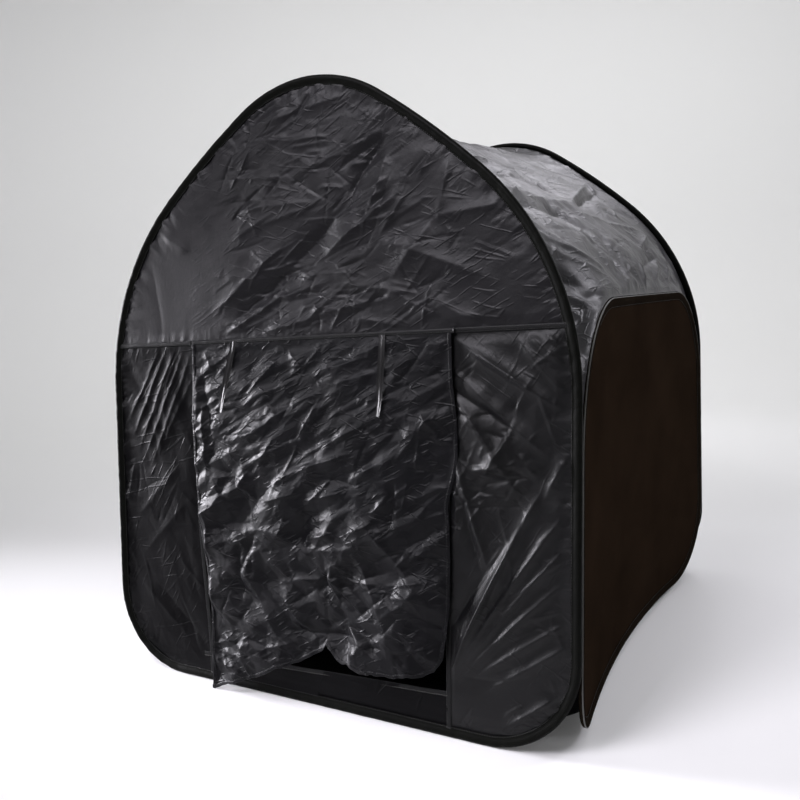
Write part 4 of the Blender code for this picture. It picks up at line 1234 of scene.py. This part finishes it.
def ribbon_tie(side, places, twist):
    """A flat ribbon through a few places on the wall: across, up, out."""
    t = np.linspace(0, 1, 70)
    line = edge_curve(places, t)
    centre = wall_point(line[:, 0], line[:, 1], line[:, 2])
    turned = np.gradient(centre, axis=0)
    turned /= np.linalg.norm(turned, axis=1)[:, None]
    outward = np.array((0, -cos(LEAN_ANGLE), sin(LEAN_ANGLE)))
    across = np.cross(turned, outward)
    across /= np.linalg.norm(across, axis=1)[:, None]
    angle = radians(twist) * np.sin(t * pi * 1.3 + 0.4) * smooth(t / 0.5)
    wide = across * np.cos(angle)[:, None] + outward * np.sin(angle)[:, None]
    s = np.linspace(-1, 1, 9)
    points = centre[:, None, :] + wide[:, None, :] * (0.006 * s)[None, :, None]
    points = points + outward * (0.0006 * np.cos(s * 5 + 1))[None, :, None]
    made = grid_piece("tie_" + side, points, RIBBON, "tie_ribbon", "door_flap")
    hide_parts("door_tie_" + side)
    return made, runs_along(centre)[-1]


ties = (
    ribbon_tie("left", [(-0.187, 0.732, 0.0115), (-0.189, 0.715, 0.0132), (-0.196, 0.680, 0.0178),
                        (-0.205, 0.640, 0.0215), (-0.212, 0.610, 0.0225), (-0.216, 0.586, 0.0235)], 35),
    ribbon_tie("right", [(0.167, 0.741, 0.0115), (0.168, 0.722, 0.0148), (0.168, 0.690, 0.0185),
                         (0.166, 0.650, 0.0205), (0.165, 0.620, 0.0220), (0.162, 0.590, 0.0245)], 30),
)


# Corner seams in the tape cloth

for node in ("corner_seam_front_left", "corner_seam_front_right", "corner_seam_back_left", "corner_seam_back_right"):
    for holder in bpy.data.objects[node].material_slots:
        holder.material = TAPE


# Floor, backdrop, light and camera

def plain(name, colour, roughness, glow):
    made = bpy.data.materials.new(name)
    made.use_nodes = True
    shader = made.node_tree.nodes["Principled BSDF"]
    shader.inputs["Base Color"].default_value = colour
    shader.inputs["Roughness"].default_value = roughness
    shader.inputs["Emission Color"].default_value = (1, 1, 1, 1)
    shader.inputs["Emission Strength"].default_value = glow
    return made


def studio():
    """A pale round floor that curves up into a wall all round the tent."""
    flat, bend, top = 3.9, 1.3, 4.6
    profile = [(0.001, 0.0), (2.0, 0.0), (flat, 0.0)]
    profile += [(flat + bend * sin(a), bend - bend * cos(a)) for a in np.linspace(0.1, pi / 2, 14)]
    profile += [(flat + bend, top)]
    turn = np.linspace(0, 2 * pi, 96, endpoint=False)
    profile = np.array(profile)
    radius, height = profile[:, :1], profile[:, 1:]
    points = np.stack([radius * np.cos(turn), radius * np.sin(turn), height - 0.0005 + 0 * turn], -1)
    mesh = bpy.data.meshes.new("studio")
    faces = grid_faces(len(profile), len(turn), wrap_columns=True)
    mesh.from_pydata(points.reshape(-1, 3).tolist(), [], faces.tolist())
    mesh.shade_smooth()
    mesh.materials.append(plain("studio_paper", (0.84, 0.84, 0.84, 1), 0.8, 0.04))
    made = bpy.data.objects.new("studio", mesh)
    bpy.context.collection.objects.link(made)


def area_light(name, place, target, size, energy, colour=(1, 1, 1), spread=180):
    lamp = bpy.data.lights.new(name, "AREA")
    lamp.shape = "RECTANGLE"
    lamp.size, lamp.size_y = size
    lamp.energy = energy
    lamp.color = colour
    lamp.spread = radians(spread)
    holder = bpy.data.objects.new(name, lamp)
    holder.location = place
    holder.rotation_euler = (Vector(target) - Vector(place)).to_track_quat("-Z", "Y").to_euler()
    holder.visible_camera = False
    bpy.context.collection.objects.link(holder)


def camera():
    azimuth, pitch, roll = 0.5159735, 0.12420086, -0.04265003
    back = Vector((sin(azimuth) * cos(pitch), -cos(azimuth) * cos(pitch), sin(pitch)))
    right = (-back).cross(Vector((0, 0, 1))).normalized()
    above = right.cross(-back)
    turned_right = right * cos(roll) + above * sin(roll)
    turned_above = above * cos(roll) - right * sin(roll)
    lens = bpy.data.cameras.new("camera")
    lens.lens = 38.299
    lens.sensor_width = 36
    holder = bpy.data.objects.new("camera", lens)
    turn = Matrix((turned_right, turned_above, back)).transposed()
    holder.matrix_world = Matrix.Translation((0.96775, -1.88829, 0.81436)) @ turn.to_4x4()
    bpy.context.collection.objects.link(holder)
    bpy.context.scene.camera = holder


studio()
area_light("ceiling", (0, 0, 4.4), (0, 0.001, 0), (6.5, 6.5), 42)
area_light("backdrop", (-0.4, 1.6, 4.2), (-1.8, 4.2, 0.8), (3.6, 1.0), 50, (1, 1, 1), 120)
area_light("back_high", (0.6, 2.4, 2.9), (0, 0, 0.8), (1.6, 0.8), 24, (1.0, 0.98, 1.06))
area_light("right_high", (2.6, 1.4, 2.7), (0.4, 0, 0.8), (1.0, 0.8), 6, (1.0, 0.98, 1.06), 60)
area_light("front_left", (-1.1, -3.3, 2.9), (0.3, -0.4, 0.7), (1.6, 0.7), 9, (1.0, 0.965, 1.05), 60)
area_light("front_high", (-0.3, -2.4, 3.1), (0.1, -0.4, 0.6), (1.2, 0.7), 6, (1.0, 0.965, 1.05), 60)
area_light("left", (-3.4, -1.1, 0.9), (0, -0.5, 0.15), (1.2, 1.0), 12, (1.0, 0.98, 1.05), 30)
camera()
sky = bpy.data.worlds.new("sky")
sky.use_nodes = True
sky.node_tree.nodes["Background"].inputs["Color"].default_value = (1, 1, 1, 1)
sky.node_tree.nodes["Background"].inputs["Strength"].default_value = 0.15
bpy.context.scene.world = sky
bpy.context.scene.view_settings.view_transform = "Standard"
